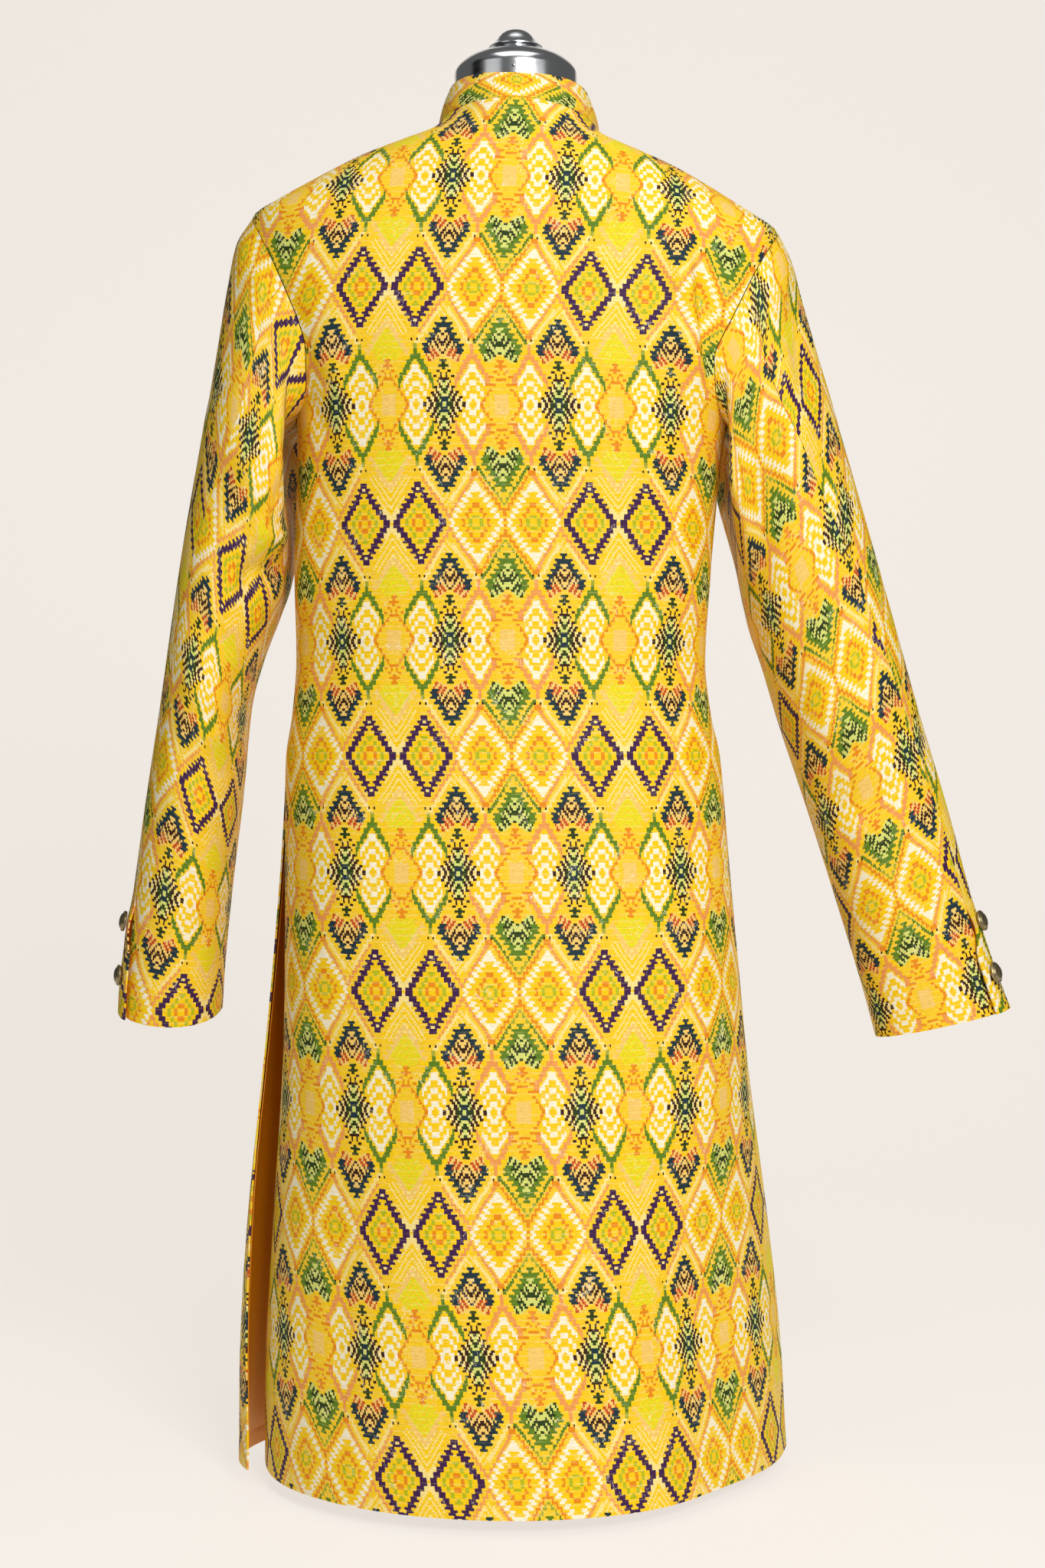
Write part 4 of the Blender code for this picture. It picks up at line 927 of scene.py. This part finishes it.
def chart_letter(a, b):
    """Colour letter of the print, a steps across from the leaf's axis and b rows up from the diamonds."""
    near8, near16, near24, near32 = abs(a - 8), abs(a - 16), abs(a - 24), abs(a - 32)
    row, low = split_row(b)
    checker = (int(2 * a) + int(2 * b)) % 3 == 0
    letter = "y"
    for near in (near8, near24):
        if b > 12 and near < 4.6 - 0.25 * abs(b - 17):
            letter = "Y"
    if (near32 / 6.5) + (abs(b - 8) / 7) < 1 or near16 + abs(b - 5) * 0.8 < 2.2:
        letter = "e" if checker else "Y"
    # around the middle of the purple pair
    if (near32 / 4.6) ** 2 + ((b - 11.2) / 3.0) ** 2 < 1:
        letter = "y" if checker else "c"
    if 6.4 < b < 12.6 and abs(near32 - 0.9 - 0.9 * (row - 7)) < (0.6 if low else 1.1):
        letter = "p"
    if 0.4 < b < 2.9 and abs(near32 - 0.9 * b) < 0.8:
        letter = "e"
    # fuzzy white diamond
    if row <= 7:
        outer = 7.45 - 0.96 * row + (0.25 if low else -0.2)
        if row >= 6:
            outer = (1.8 if row == 6 else 0.9) - (0.4 if low else 0.0)
        inner = outer - 1.4 if row < 6 else 0.0
        if inner <= near8 < outer:
            letter = "w"
        elif near8 < inner:
            letter = "Y"
            if row < 4 and abs(near8 - (3.4 - DASH * row)) < (0.5 if low else 0.3):
                letter = "o"
            if (row == 0 and 1.0 <= near8 < 2.0) or (row == 1 and near8 < 1.0 and not low):
                letter = "v"
            if row == 3 and near8 < 0.8:
                letter = "o"
    # purple diamond
    if row <= 5:
        outer = 7.6 - 0.94 * row + (0.0 if low or row == 0 else -0.25)
        inner = 5.35 - 0.94 * row + (0.15 if low and row > 0 else 0.0)
        if inner <= near24 < outer:
            letter = "u"
        elif near24 < inner:
            letter = "Y"
            if (row == 0 and 0.9 <= near24 < 1.9) or (row == 1 and near24 < 0.8):
                letter = "o"
            if row < 3 and abs(near24 - (3.3 - 0.95 * row)) < 0.5:
                letter = "v"
            if row == 3 and near24 < (0.9 if low else 0.5):
                letter = "v"
    elif row == 6 and near24 < (2.0 if low else 1.5):
        letter = "e" if low and near24 < 0.4 else "u"
    elif row == 7 and near24 < (1.1 if low else 0.8):
        letter = "u"
    for first, last, start, slope, colour in DASHES:
        if first <= row <= last and on_dash(a, row, low, start, slope):
            letter = colour
    # ends of the orange dashes, and green ones round the green leaf
    if row <= 1 and a < 0.6 and low:
        letter = "o"
    if row == 9 and near8 < 1.0:
        letter = "o"
    if 3 <= row <= 10 and on_dash(a, row, low, -3.0, DASH):
        letter = "V" if row < 6 else "g"
    letter = leaf(a, b, "g", "G", "G", "l", letter) if a < 6 else letter
    letter = leaf(near16, b, "t", "b", "r", "p", letter) if near16 < 6 else letter
    for near, colour in ((near8, "s"), (near24, "g")):
        if near < 5:
            letter = chevron(near, b, colour, letter)
            letter = lozenge(near, b, letter)
        if 9.7 <= b < 10.5 and 0.5 <= near < 1.0:
            letter = "b"
        if 10.8 <= b < 12.0 and near < 0.5:
            letter = "V" if colour == "g" else "s"
    for near, colour in ((a, "o"), (near16, "G" if b < 16 else "b"), (near32, "o")):
        letter = cross_mark(near, b, colour, letter)
    # dashed diamond on the row of eyes, with its peach ground
    for near in (a, near32):
        if row >= 18 and near < DASH * (row - 16.1) - 0.6:
            letter = "p" if b > 20.3 and near < 2 else "y"
        if row >= 18 and on_dash(near, row, low, -15.6, DASH):
            letter = "o"
    # the eye
    if b >= 18.0:
        width = 1.9 + DASH * (row - 18) - (0.5 if low else 0.0)
        if near16 < min(width, 5.2):
            dark = (b + 1.05 * near16 - 17.6) % 1.9 < 1.15
            rim = near16 > 0.42 * width
            letter = ("b" if rim else "G") if dark else ("e" if rim else "l")
        if b >= 21 and near16 < 1.0:
            letter = "l" if row == 22 and near16 < 0.5 else "t"
        if row == 22 and 5.0 <= near16 < 6.1:
            letter = "b"
    return letter


def chart_row(k):
    """Runs of one half row of the chart: [start, letter], at half steps across."""
    runs = []
    for i in range(2 * STEPS_ACROSS):
        letter = chart_letter((i + 0.5) / 2, max((k + 0.5) / 2 - ROW_RISE, 0.02))
        if not runs or runs[-1][1] != letter:
            runs.append([i / (2 * STEPS_ACROSS), letter])
    while len(runs) > MOST_STOPS:
        ends = [r[0] for r in runs[1:]] + [1.0]
        shortest = min(range(1, len(runs)), key=lambda j: ends[j] - runs[j][0])
        runs.pop(shortest)
    return runs


def printed_silk(name, settings):
    """Raw silk printed in steps like an ikat: soft edges, slubby threads, fine rows of pale stitching."""
    made, tree, shader = new_material(name)
    uv = add(tree, "ShaderNodeUVMap", uv_map="cloth").outputs[0]
    # two noises move the print's edges: a fine one that frays them and a wide one that bends them
    moves = []
    for scale, detail, amount in ((900.0, 2.0, 0.0009), (60.0, 1.0, 0.0022)):
        wander = noise(tree, uv, scale, detail).outputs["Color"]
        wander = vector_maths(tree, "SUBTRACT", wander, (0.5, 0.5, 0.5))
        moves.append(vector_maths(tree, "SCALE", wander, amount))
    place = vector_maths(tree, "ADD", uv, moves[0])
    place = vector_maths(tree, "ADD", place, moves[1])
    split = add(tree, "ShaderNodeSeparateXYZ", {0: place}).outputs
    across = to_and_fro(tree, split[0], settings.repeat_width / 2)
    up = to_and_fro(tree, split[1], settings.repeat_height / 2)
    colour = None
    for k in range(HALF_ROWS):
        ramp = add(tree, "ShaderNodeValToRGB", {0: across})
        ramp.color_ramp.interpolation = "CONSTANT"
        elements = ramp.color_ramp.elements
        runs = chart_row(k)
        while len(elements) < len(runs):
            elements.new(0.5)
        while len(elements) > len(runs):
            elements.remove(elements[-1])
        for element, (start, letter) in zip(elements, runs):
            element.position = start
            element.color = linear(PRINT_COLOURS[letter])
        if colour is None:
            colour = ramp.outputs[0]
            continue
        here = maths(tree, "GREATER_THAN", up, (k / 2 - ROW_RISE) / STEPS_UP)
        colour = blend(tree, here, colour, ramp.outputs[0])
    # slub: threads a little lighter and darker, coarser than the real 0.3 mm ones so that they show
    slub = noise(tree, stretched(tree, uv, (260.0, 1400.0, 1.0)), 1.0, 3.0).outputs[0]
    colour = vector_maths(tree, "MULTIPLY", colour, spread(tree, slub, 0.25, 0.75, 0.80, 1.16))
    # rows of pale stitching, a little wavy and broken, weaker on dark ground
    line_place = vector_maths(tree, "ADD", uv, moves[1])
    line_up = add(tree, "ShaderNodeSeparateXYZ", {0: line_place}).outputs[1]
    rows = spread(tree, to_and_fro(tree, line_up, settings.stitch_rows / 2), 0.0, 0.26, 1.0, 0.0)
    breaks = noise(tree, stretched(tree, uv, (130.0, 420.0, 1.0)), 1.0, 2.0).outputs[0]
    line = maths(tree, "MULTIPLY", rows, spread(tree, breaks, 0.42, 0.60, 0.10, 0.75))
    pale = add(tree, "ShaderNodeSeparateColor", {0: colour}).outputs[1]
    line = maths(tree, "MULTIPLY", line, spread(tree, pale, 0.1, 0.5, 0.18, 1.0))
    colour = blend(tree, line, colour, linear(PRINT_COLOURS["e"]))
    # stray white ends of thread: thin rings round a noise's middle value, kept where a second one is high
    ends = noise(tree, uv, 85.0, 3.0, Distortion=1.6).outputs[0]
    ring = maths(tree, "ABSOLUTE", maths(tree, "SUBTRACT", ends, 0.5))
    thin = maths(tree, "LESS_THAN", ring, 0.006)
    rare = maths(tree, "GREATER_THAN", noise(tree, uv, 55.0, 0.0).outputs[0], 0.60)
    stray = maths(tree, "MULTIPLY", maths(tree, "MULTIPLY", thin, rare), 0.7)
    colour = blend(tree, stray, colour, linear(PRINT_COLOURS["w"]))
    height = maths(tree, "ADD", slub, maths(tree, "MULTIPLY", rows, -0.6))
    feed(tree, shader, {
        "Base Color": colour, "Roughness": spread(tree, slub, 0.2, 0.8, 0.54, 0.70),
        "Specular IOR Level": 0.16, "Normal": bump(tree, height, 0.5, 0.0004),
    })
    return made


def satin_lining(name):
    """Ochre satin: smooth, with a soft shine along fine threads: a real gloss, and a painted sheen in its
    colour, lighter and darker streaks that are also its bumps.
    """
    made, tree, shader = new_material(name)
    uv = add(tree, "ShaderNodeUVMap", uv_map="cloth").outputs[0]
    # fine streaks along the threads: bumps of the weave, and a painted sheen in the colour
    threads_and_sheen = noise(tree, stretched(tree, uv, (1600.0, 180.0, 1.0)), 1.0, 2.0).outputs[0]
    # painted sheen: lighter ochre on the raised threads, darker ochre between them
    feed(tree, shader, {
        "Base Color": blend(tree, threads_and_sheen, linear("#D87E02"), linear("#EC9A0C")), "Roughness": 0.38,
        "Specular IOR Level": 0.3, "Normal": bump(tree, threads_and_sheen, 0.25, 0.0002),
    })
    return made


def metal(name, colour, spots, roughness, grain, stretch=(1.0, 1.0, 1.0), bump_depth=0.00005):
    """A metal with its working marks: grain is the marks' scale and stretch their direction."""
    made, tree, shader = new_material(name)
    place = add(tree, "ShaderNodeTexCoord").outputs["Object"]
    marks = noise(tree, stretched(tree, place, stretch), grain, 4.0).outputs[0]
    feed(tree, shader, {
        "Base Color": blend(tree, marks, linear(colour), linear(spots)), "Metallic": 1.0,
        "Roughness": spread(tree, marks, 0.3, 0.7, roughness * 0.7, roughness * 1.3),
        "Normal": bump(tree, marks, 0.3, bump_depth),
    })
    return made


def cotton_jersey(name):
    """Natural cotton jersey over the form: matt, with fine knitted wales."""
    made, tree, shader = new_material(name)
    place = add(tree, "ShaderNodeTexCoord").outputs["Object"]
    wale = add(tree, "ShaderNodeTexWave", {"Vector": place, "Scale": 190.0, "Distortion": 1.5, "Detail": 1.0})
    wale = wale.outputs["Fac"]
    feed(tree, shader, {
        "Base Color": blend(tree, wale, linear("#D8CFC1"), linear("#EAE3D8")), "Roughness": 0.9,
        "Normal": bump(tree, wale, 0.4, 0.0003),
    })
    return made


def studio_card(name, colour, glow):
    """Matt paper with an even glow, seen from its front only, so that no view is shut out."""
    made, tree, shader = new_material(name)
    place = add(tree, "ShaderNodeTexCoord").outputs["Object"]
    speck = noise(tree, place, 3.0, 1.0).outputs[0]
    base = vector_maths(tree, "MULTIPLY", spread(tree, speck, 0.0, 1.0, 0.997, 1.003), linear(colour)[:3])
    feed(tree, shader, {
        "Base Color": vector_maths(tree, "SCALE", base, PAPER_SHADE), "Emission Color": base,
        "Emission Strength": glow, "Roughness": 1.0, "Specular IOR Level": 0.0,
    })
    behind = add(tree, "ShaderNodeNewGeometry").outputs["Backfacing"]
    clear = add(tree, "ShaderNodeBsdfTransparent").outputs[0]
    both = add(tree, "ShaderNodeMixShader", {0: behind, 1: shader.outputs[0], 2: clear}).outputs[0]
    feed(tree, tree.nodes["Material Output"], {"Surface": both})
    return made


MADE = {}


def material_for(name):
    """Each finish is made once, when the first piece asks for it."""
    if name not in MADE:
        if name == "printed_silk":
            MADE[name] = printed_silk(name, bpy.context.scene.coat_print)
        elif name == "ochre_satin":
            MADE[name] = satin_lining(name)
        elif name == "antique_brass":
            # cast brass, darkened and rubbed bright on its high places
            MADE[name] = metal(name, "#5E5038", "#C9B68C", 0.42, 900.0, bump_depth=0.00012)
        elif name == "spun_steel":
            # polished steel spun on a lathe: rings so fine that they only soften the shine
            MADE[name] = metal(name, "#D4D6D8", "#E6E7E8", 0.20, 40.0, (0.6, 0.6, 60.0))
        elif name == "satin_steel":
            # ground steel: an even grey with a dull shine, darker than the spun cap
            MADE[name] = metal(name, "#8A8B8D", "#9B9C9E", 0.34, 120.0)
        elif name == "cotton_jersey":
            MADE[name] = cotton_jersey(name)
    return MADE[name]


# Turned pieces

def turned_piece(name, profile, steps, material, centre=(0.0, 0.0), bevel=0.0):
    """A solid turned about the upright: a line of edges along the profile is spun."""
    deselect()
    bpy.ops.mesh.primitive_plane_add(size=0.01)
    piece = bpy.context.object
    piece.name = piece.data.name = name
    bpy.ops.object.mode_set(mode="EDIT")
    bm = bmesh.from_edit_mesh(piece.data)
    bmesh.ops.delete(bm, geom=list(bm.verts), context="VERTS")
    line = [bm.verts.new((r, 0.0, h)) for r, h in profile]
    for a, b in zip(line, line[1:]):
        bm.edges.new((a, b))
    for v in bm.verts:
        v.select_set(True)
    bm.select_flush(True)
    bmesh.update_edit_mesh(piece.data)
    bpy.ops.mesh.spin(steps=steps, angle=2 * math.pi, center=(0, 0, 0), axis=(0, 0, 1))
    bpy.ops.mesh.select_all(action="SELECT")
    bpy.ops.mesh.remove_doubles(threshold=0.00001)
    bpy.ops.mesh.normals_make_consistent(inside=False)
    bpy.ops.object.mode_set(mode="OBJECT")
    piece.location = (centre[0], centre[1], 0.0)
    piece.data.materials.append(material)
    if bevel:
        round_edge = piece.modifiers.new("round_edge", "BEVEL")
        round_edge.width = bevel
        round_edge.segments = 3
        round_edge.limit_method = "ANGLE"
    settle(piece, 35)
    return piece


def button_seat(node):
    """Centre of a button's foot and its outward direction, read from its solid."""
    points = np.unique(np.round(mesh_points(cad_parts[node].data), 6), axis=0)
    centre = points.mean(axis=0)
    axis = np.linalg.eigh(np.cov((points - centre).T))[1][:, 0]
    along = (points - centre) @ axis
    radial = np.linalg.norm((points - centre) - along[:, None] * axis, axis=1)
    # the rim lies on the foot's side of the centre
    rim = radial > radial.max() * 0.93
    if along[rim].mean() > 0:
        axis, along = -axis, -along
    return centre + axis * along.min(), axis


# Outlines of the turned pieces: radius and height
BUTTON_PROFILE = (
    (0.0, 0.0050), (0.0018, 0.00492), (0.0036, 0.0046), (0.0052, 0.0040), (0.0063, 0.0032),
    (0.0069, 0.0024), (0.0072, 0.0021), (0.0076, 0.0024), (0.0081, 0.0023), (0.0085, 0.0017),
    (0.0084, 0.0008), (0.0080, 0.0), (0.0, 0.0),
)
CAP_TURN = 0.0215       # the cap's round edge starts this much below the knob's foot
CAP_ROUND = 0.030       # width and height of that edge
CAP_RISE = 0.0150
CAP_SWELL = 0.0026
# The knob, over the height where the cap's round edge starts
KNOB_PROFILE = (
    (0.0, 0.0375), (0.0040, 0.03735), (0.0080, 0.0365), (0.0115, 0.0346), (0.0140, 0.0322),
    (0.0160, 0.0293), (0.0178, 0.0268), (0.0200, 0.0245), (0.0222, 0.0230), (0.0222, 0.0222),
    (0.0182, 0.0215), (0.0176, 0.0200), (0.0, 0.0216),
)
POLE_FOOT = 0.006       # how far the pole's foot stands out, and its height at the rim and at the pole
POLE_FOOT_RIM = 0.010
POLE_FOOT_TOP = 0.012
BASE_SLOPE = 0.004      # bevel along the base's upper edge


def make_button(node):
    """Domed button with a raised rim, seated where its solid is."""
    foot, axis = button_seat(node)
    piece = turned_piece("dome_" + node, BUTTON_PROFILE, 40, material_for("antique_brass"))
    z = axis / np.linalg.norm(axis)
    x = np.cross([0.0, 0.0, 1.0], z)
    x /= np.linalg.norm(x)
    y = np.cross(z, x)
    co = mesh_points(piece.data) @ np.stack([x, y, z]) + foot
    piece.data.vertices.foreach_set("co", co.ravel())
    piece.data.update()
    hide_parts(node)
    return piece


# The studio, in metres and watts: the paper runs back along the floor, curves up and stands as a wall
PAPER_GLOW = 0.83
PAPER_SHADE = 0.25      # share of the paper's colour that takes the lamps' light
FLOOR_START = -1.2
FLOOR_LENGTH = 2.5
PAPER_CURVE = 1.2
WALL_RISE = 2.0
PAPER_WIDTH = 3.6
PAPER_TAPER = 0.5
FLAG_PLACE = (1.7, -0.4, 1.2)    # black flags at both sides, out of the picture
FLAG_SIZE = (2.4, 0.7, 1.0)
AIR = (0.95, 0.95, 0.95, 1.0)
AIR_GLOW = 0.12
LAMP_AIM = (0.0, 0.0, 0.6)
LAMPS = (
    ("box_camera", (0.75, -2.3, 1.75), 0.9, 52.0),
    ("box_left", (-1.9, -2.0, 1.7), 1.4, 4.0),
    ("box_right", (1.9, -2.2, 1.5), 1.4, 6.0),
    ("box_top", (0.0, -0.7, 2.9), 1.6, 14.0),
)
CAMERA_SIDE = 0.012     # how far the camera stands to the right of the middle
SENSOR = 36.0           # millimetres
PHOTO_HEIGHT = 2048     # pixels, as are the lens and its shift below
LENS = 3046
LENS_SHIFT = -12


# Add-on

class CoatPrint(bpy.types.PropertyGroup):
    repeat_width: bpy.props.FloatProperty(
        name="Repeat width", description="Width of one repeat of the print", default=2 * QUARTER_WIDTH,
        unit="LENGTH", subtype="DISTANCE",
    )
    repeat_height: bpy.props.FloatProperty(
        name="Repeat height", description="Height of one repeat of the print", default=2 * QUARTER_HEIGHT,
        unit="LENGTH", subtype="DISTANCE",
    )
    stitch_rows: bpy.props.FloatProperty(
        name="Stitch rows", description="From one row of stitching to the next", default=0.0052,
        unit="LENGTH", subtype="DISTANCE",
    )
    shell: bpy.props.FloatProperty(
        name="Cloth", description="Thickness of the printed cloth with its lining", default=SHELL,
        unit="LENGTH", subtype="DISTANCE",
    )


class CoatStage(bpy.types.PropertyGroup):
    paper: bpy.props.StringProperty(
        name="Paper", description="Colour of the studio paper", default="#F4EEE7",
    )
    camera_distance: bpy.props.FloatProperty(
        name="Camera distance", description="From the camera to the middle of the coat", default=1.90,
        unit="LENGTH", subtype="DISTANCE",
    )
    camera_height: bpy.props.FloatProperty(
        name="Camera height", description="Height of the camera over the floor", default=0.562,
        unit="LENGTH", subtype="DISTANCE",
    )


class COAT_OT_back(bpy.types.Operator):
    """Makes the back of the coat"""
    bl_idname = "coat.back"
    bl_label = "Back"

    def execute(self, context):
        sheet = back_sheet()
        cloths = (material_for("printed_silk"), material_for("ochre_satin"))
        piece = cloth_piece("coat_back", sheet, context.scene.coat_print.shell, cloths)
        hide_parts("back")
        return {"FINISHED"}


class COAT_OT_fronts(bpy.types.Operator):
    """Makes the two fronts and what shows of their lining"""
    bl_idname = "coat.fronts"
    bl_label = "Fronts"

    def execute(self, context):
        cloths = (material_for("printed_silk"), material_for("ochre_satin"))
        satin = material_for("ochre_satin")
        for side, word in ((-1, "left"), (1, "right")):
            sheet = front_sheet(side)
            piece = cloth_piece(f"coat_front_{word}", sheet, context.scene.coat_print.shell, cloths)
            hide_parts(f"front_{word}")
            sheet = lining_sheet(side)
            lining = cloth_piece(f"skirt_lining_{word}", sheet, LINING, (satin, satin))
            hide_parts(f"front_lining_{word}")
        return {"FINISHED"}


class COAT_OT_sleeves(bpy.types.Operator):
    """Makes the two-piece sleeves"""
    bl_idname = "coat.sleeves"
    bl_label = "Sleeves"

    def execute(self, context):
        cloths = (material_for("printed_silk"), material_for("ochre_satin"))
        thickness = context.scene.coat_print.shell
        for side, word in ((-1, "left"), (1, "right")):
            for sheet, kind in zip(sleeve_sheets(side), ("under", "top")):
                piece = cloth_piece(f"coat_{kind}_sleeve_{word}", sheet, thickness, cloths, ARMPIT_Z)
                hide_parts(f"{kind}_sleeve_{word}")
        return {"FINISHED"}


class COAT_OT_collar(bpy.types.Operator):
    """Makes the stand-up collar"""
    bl_idname = "coat.collar"
    bl_label = "Collar"

    def execute(self, context):
        cloths = (material_for("printed_silk"), material_for("ochre_satin"))
        sheet = collar_sheet()
        piece = cloth_piece("coat_collar", sheet, COLLAR_SHELL, cloths)
        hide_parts("collar")
        return {"FINISHED"}


class COAT_OT_buttons(bpy.types.Operator):
    """Makes the domed buttons of the cuffs and the front"""
    bl_idname = "coat.buttons"
    bl_label = "Buttons"

    def execute(self, context):
        for node in sorted(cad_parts):
            if "_button_" in node:
                make_button(node)
        return {"FINISHED"}


class COAT_OT_form(bpy.types.Operator):
    """Makes the form, its neck cap and its stand"""
    bl_idname = "coat.form"
    bl_label = "Form and stand"

    def execute(self, context):
        deselect()
        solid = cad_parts["torso_form"]
        form = solid.copy()
        form.data = solid.data.copy()
        for key in list(form.keys()):
            del form[key]
        form.parent = None
        form.hide_render = form.hide_viewport = False
        context.scene.collection.objects.link(form)
        form.name = form.data.name = "jersey_form"
        form.select_set(True)
        context.view_layer.objects.active = form
        bpy.ops.object.mode_set(mode="EDIT")
        bpy.ops.mesh.select_all(action="SELECT")
        bpy.ops.mesh.remove_doubles(threshold=0.00005)
        bpy.ops.mesh.tris_convert_to_quads(
            face_threshold=math.radians(40), shape_threshold=math.radians(60)
        )
        bpy.ops.object.mode_set(mode="OBJECT")
        form.data.materials.clear()
        form.data.materials.append(material_for("cotton_jersey"))
        smooth = form.modifiers.new("smooth", "SUBSURF")
        smooth.levels = smooth.render_levels = 2
        settle(form, 50)
        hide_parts("torso_form")
        steel = material_for("spun_steel")
        low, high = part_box("neck_cap")
        centre = ((low.x + high.x) / 2, (low.y + high.y) / 2)
        radius = (high.x - low.x) / 2
        turn = high.z - CAP_TURN
        cap_line = [(0.0, turn + 0.0214), (0.012, turn + 0.0205)]
        for t in np.radians(np.linspace(78, 0, 16)):
            rise = CAP_RISE * math.sin(t) + CAP_SWELL * math.sin(t) ** 3
            cap_line.append((radius - CAP_ROUND + CAP_ROUND * math.cos(t), turn + rise))
        cap_line += [(radius, low.z), (0.0, low.z)]
        cap = turned_piece("spun_cap", cap_line, 96, steel, centre)
        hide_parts("neck_cap")
        knob_line = [(r, turn + h) for r, h in KNOB_PROFILE]
        knob = turned_piece("spun_knob", knob_line, 80, steel, centre)
        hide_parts("cap_knob")
        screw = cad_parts["cap_screw"]
        screw.data.materials.clear()
        screw.data.materials.append(material_for("satin_steel"))
        low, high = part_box("pole")
        pole = turned_piece("stand_pole", [
            (0.0, high.z), (high.x, high.z), (high.x, low.z + POLE_FOOT_TOP),
            (high.x + POLE_FOOT, low.z + POLE_FOOT_RIM), (high.x + POLE_FOOT, low.z), (0.0, low.z),
        ], 48, steel, bevel=0.0006)
        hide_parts("pole")
        low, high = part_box("stand_base")
        base = turned_piece("round_base", [
            (0.0, high.z), (high.x - BASE_SLOPE, high.z), (high.x, high.z - BASE_SLOPE), (high.x, low.z),
            (0.0, low.z),
        ], 96, material_for("satin_steel"), bevel=0.0012)
        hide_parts("stand_base")
        return {"FINISHED"}


class COAT_OT_studio(bpy.types.Operator):
    """Makes the paper, the lights and the camera"""
    bl_idname = "coat.studio"
    bl_label = "Studio"

    def execute(self, context):
        stage = context.scene.coat_stage
        paper = studio_card("studio_paper", stage.paper, PAPER_GLOW)
        deselect()
        bpy.ops.mesh.primitive_grid_add(x_subdivisions=4, y_subdivisions=60, size=1)
        sweep = context.object
        sweep.name = "studio_floor"
        floor_end = FLOOR_START + FLOOR_LENGTH
        for v in sweep.data.vertices:
            t = (v.co.y + 0.5) * 3
            if t < 1:
                place = (FLOOR_START + t * FLOOR_LENGTH, 0.0)
            elif t < 2:
                turn = (t - 1) * math.pi / 2
                place = (floor_end + PAPER_CURVE * math.sin(turn), PAPER_CURVE * (1 - math.cos(turn)))
            else:
                place = (floor_end + PAPER_CURVE, PAPER_CURVE + (t - 2) * WALL_RISE)
            v.co = (v.co.x * (PAPER_WIDTH - PAPER_TAPER * min(t, 2)), place[0], place[1])
        sweep.data.materials.append(paper)
        bpy.ops.object.shade_smooth()
        flag = studio_card("black_flag", "#0A0A0B", 0.0)
        for side, word in ((-1, "left"), (1, "right")):
            deselect()
            place = (side * FLAG_PLACE[0], *FLAG_PLACE[1:])
            bpy.ops.mesh.primitive_plane_add(size=1, location=place, rotation=(0, math.pi / 2, 0))
            card = context.object
            card.name = f"flag_{word}"
            card.scale = FLAG_SIZE
            card.data.materials.append(flag)
            card.visible_camera = False
        world = bpy.data.worlds.new("studio_air")
        world.use_nodes = True
        feed(world.node_tree, world.node_tree.nodes["Background"], {0: AIR, 1: AIR_GLOW})
        context.scene.world = world
        for name, place, size, power in LAMPS:
            deselect()
            bpy.ops.object.light_add(type="AREA", location=place)
            light = context.object
            light.name = name
            light.data.size = size
            light.data.energy = power
            aim = Vector(LAMP_AIM) - Vector(place)
            light.rotation_euler = aim.to_track_quat("-Z", "Y").to_euler()
        camera = bpy.data.objects.new("studio_camera", bpy.data.cameras.new("studio_camera"))
        context.scene.collection.objects.link(camera)
        camera.location = (CAMERA_SIDE, -stage.camera_distance, stage.camera_height)
        camera.rotation_euler = (math.pi / 2, 0, 0)
        camera.data.sensor_width = SENSOR
        camera.data.lens = LENS / PHOTO_HEIGHT * SENSOR
        camera.data.shift_y = LENS_SHIFT / PHOTO_HEIGHT
        context.scene.camera = camera
        context.scene.view_settings.view_transform = "Standard"
        return {"FINISHED"}


class COAT_PT_panel(bpy.types.Panel):
    """Lists the coat's pieces"""
    bl_idname = "COAT_PT_panel"
    bl_label = "Coat"
    bl_space_type = "VIEW_3D"
    bl_region_type = "UI"
    bl_category = "Coat"

    def draw(self, context):
        for name in ("repeat_width", "repeat_height", "stitch_rows", "shell"):
            self.layout.prop(context.scene.coat_print, name)
        for name in ("paper", "camera_distance", "camera_height"):
            self.layout.prop(context.scene.coat_stage, name)
        for operator in OPERATORS:
            self.layout.operator(operator.bl_idname)


OPERATORS = (
    COAT_OT_back, COAT_OT_fronts, COAT_OT_sleeves, COAT_OT_collar, COAT_OT_buttons, COAT_OT_form,
    COAT_OT_studio,
)
CLASSES = (CoatPrint, CoatStage, *OPERATORS, COAT_PT_panel)


def register():
    for cls in CLASSES:
        bpy.utils.register_class(cls)
    bpy.types.Scene.coat_print = bpy.props.PointerProperty(type=CoatPrint)
    bpy.types.Scene.coat_stage = bpy.props.PointerProperty(type=CoatStage)


def unregister():
    del bpy.types.Scene.coat_print
    del bpy.types.Scene.coat_stage
    for cls in reversed(CLASSES):
        bpy.utils.unregister_class(cls)


def main():
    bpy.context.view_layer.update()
    register()
    bpy.ops.coat.back()
    bpy.ops.coat.fronts()
    bpy.ops.coat.sleeves()
    bpy.ops.coat.collar()
    bpy.ops.coat.buttons()
    bpy.ops.coat.form()
    bpy.ops.coat.studio()


if __name__ == "__main__":
    main()
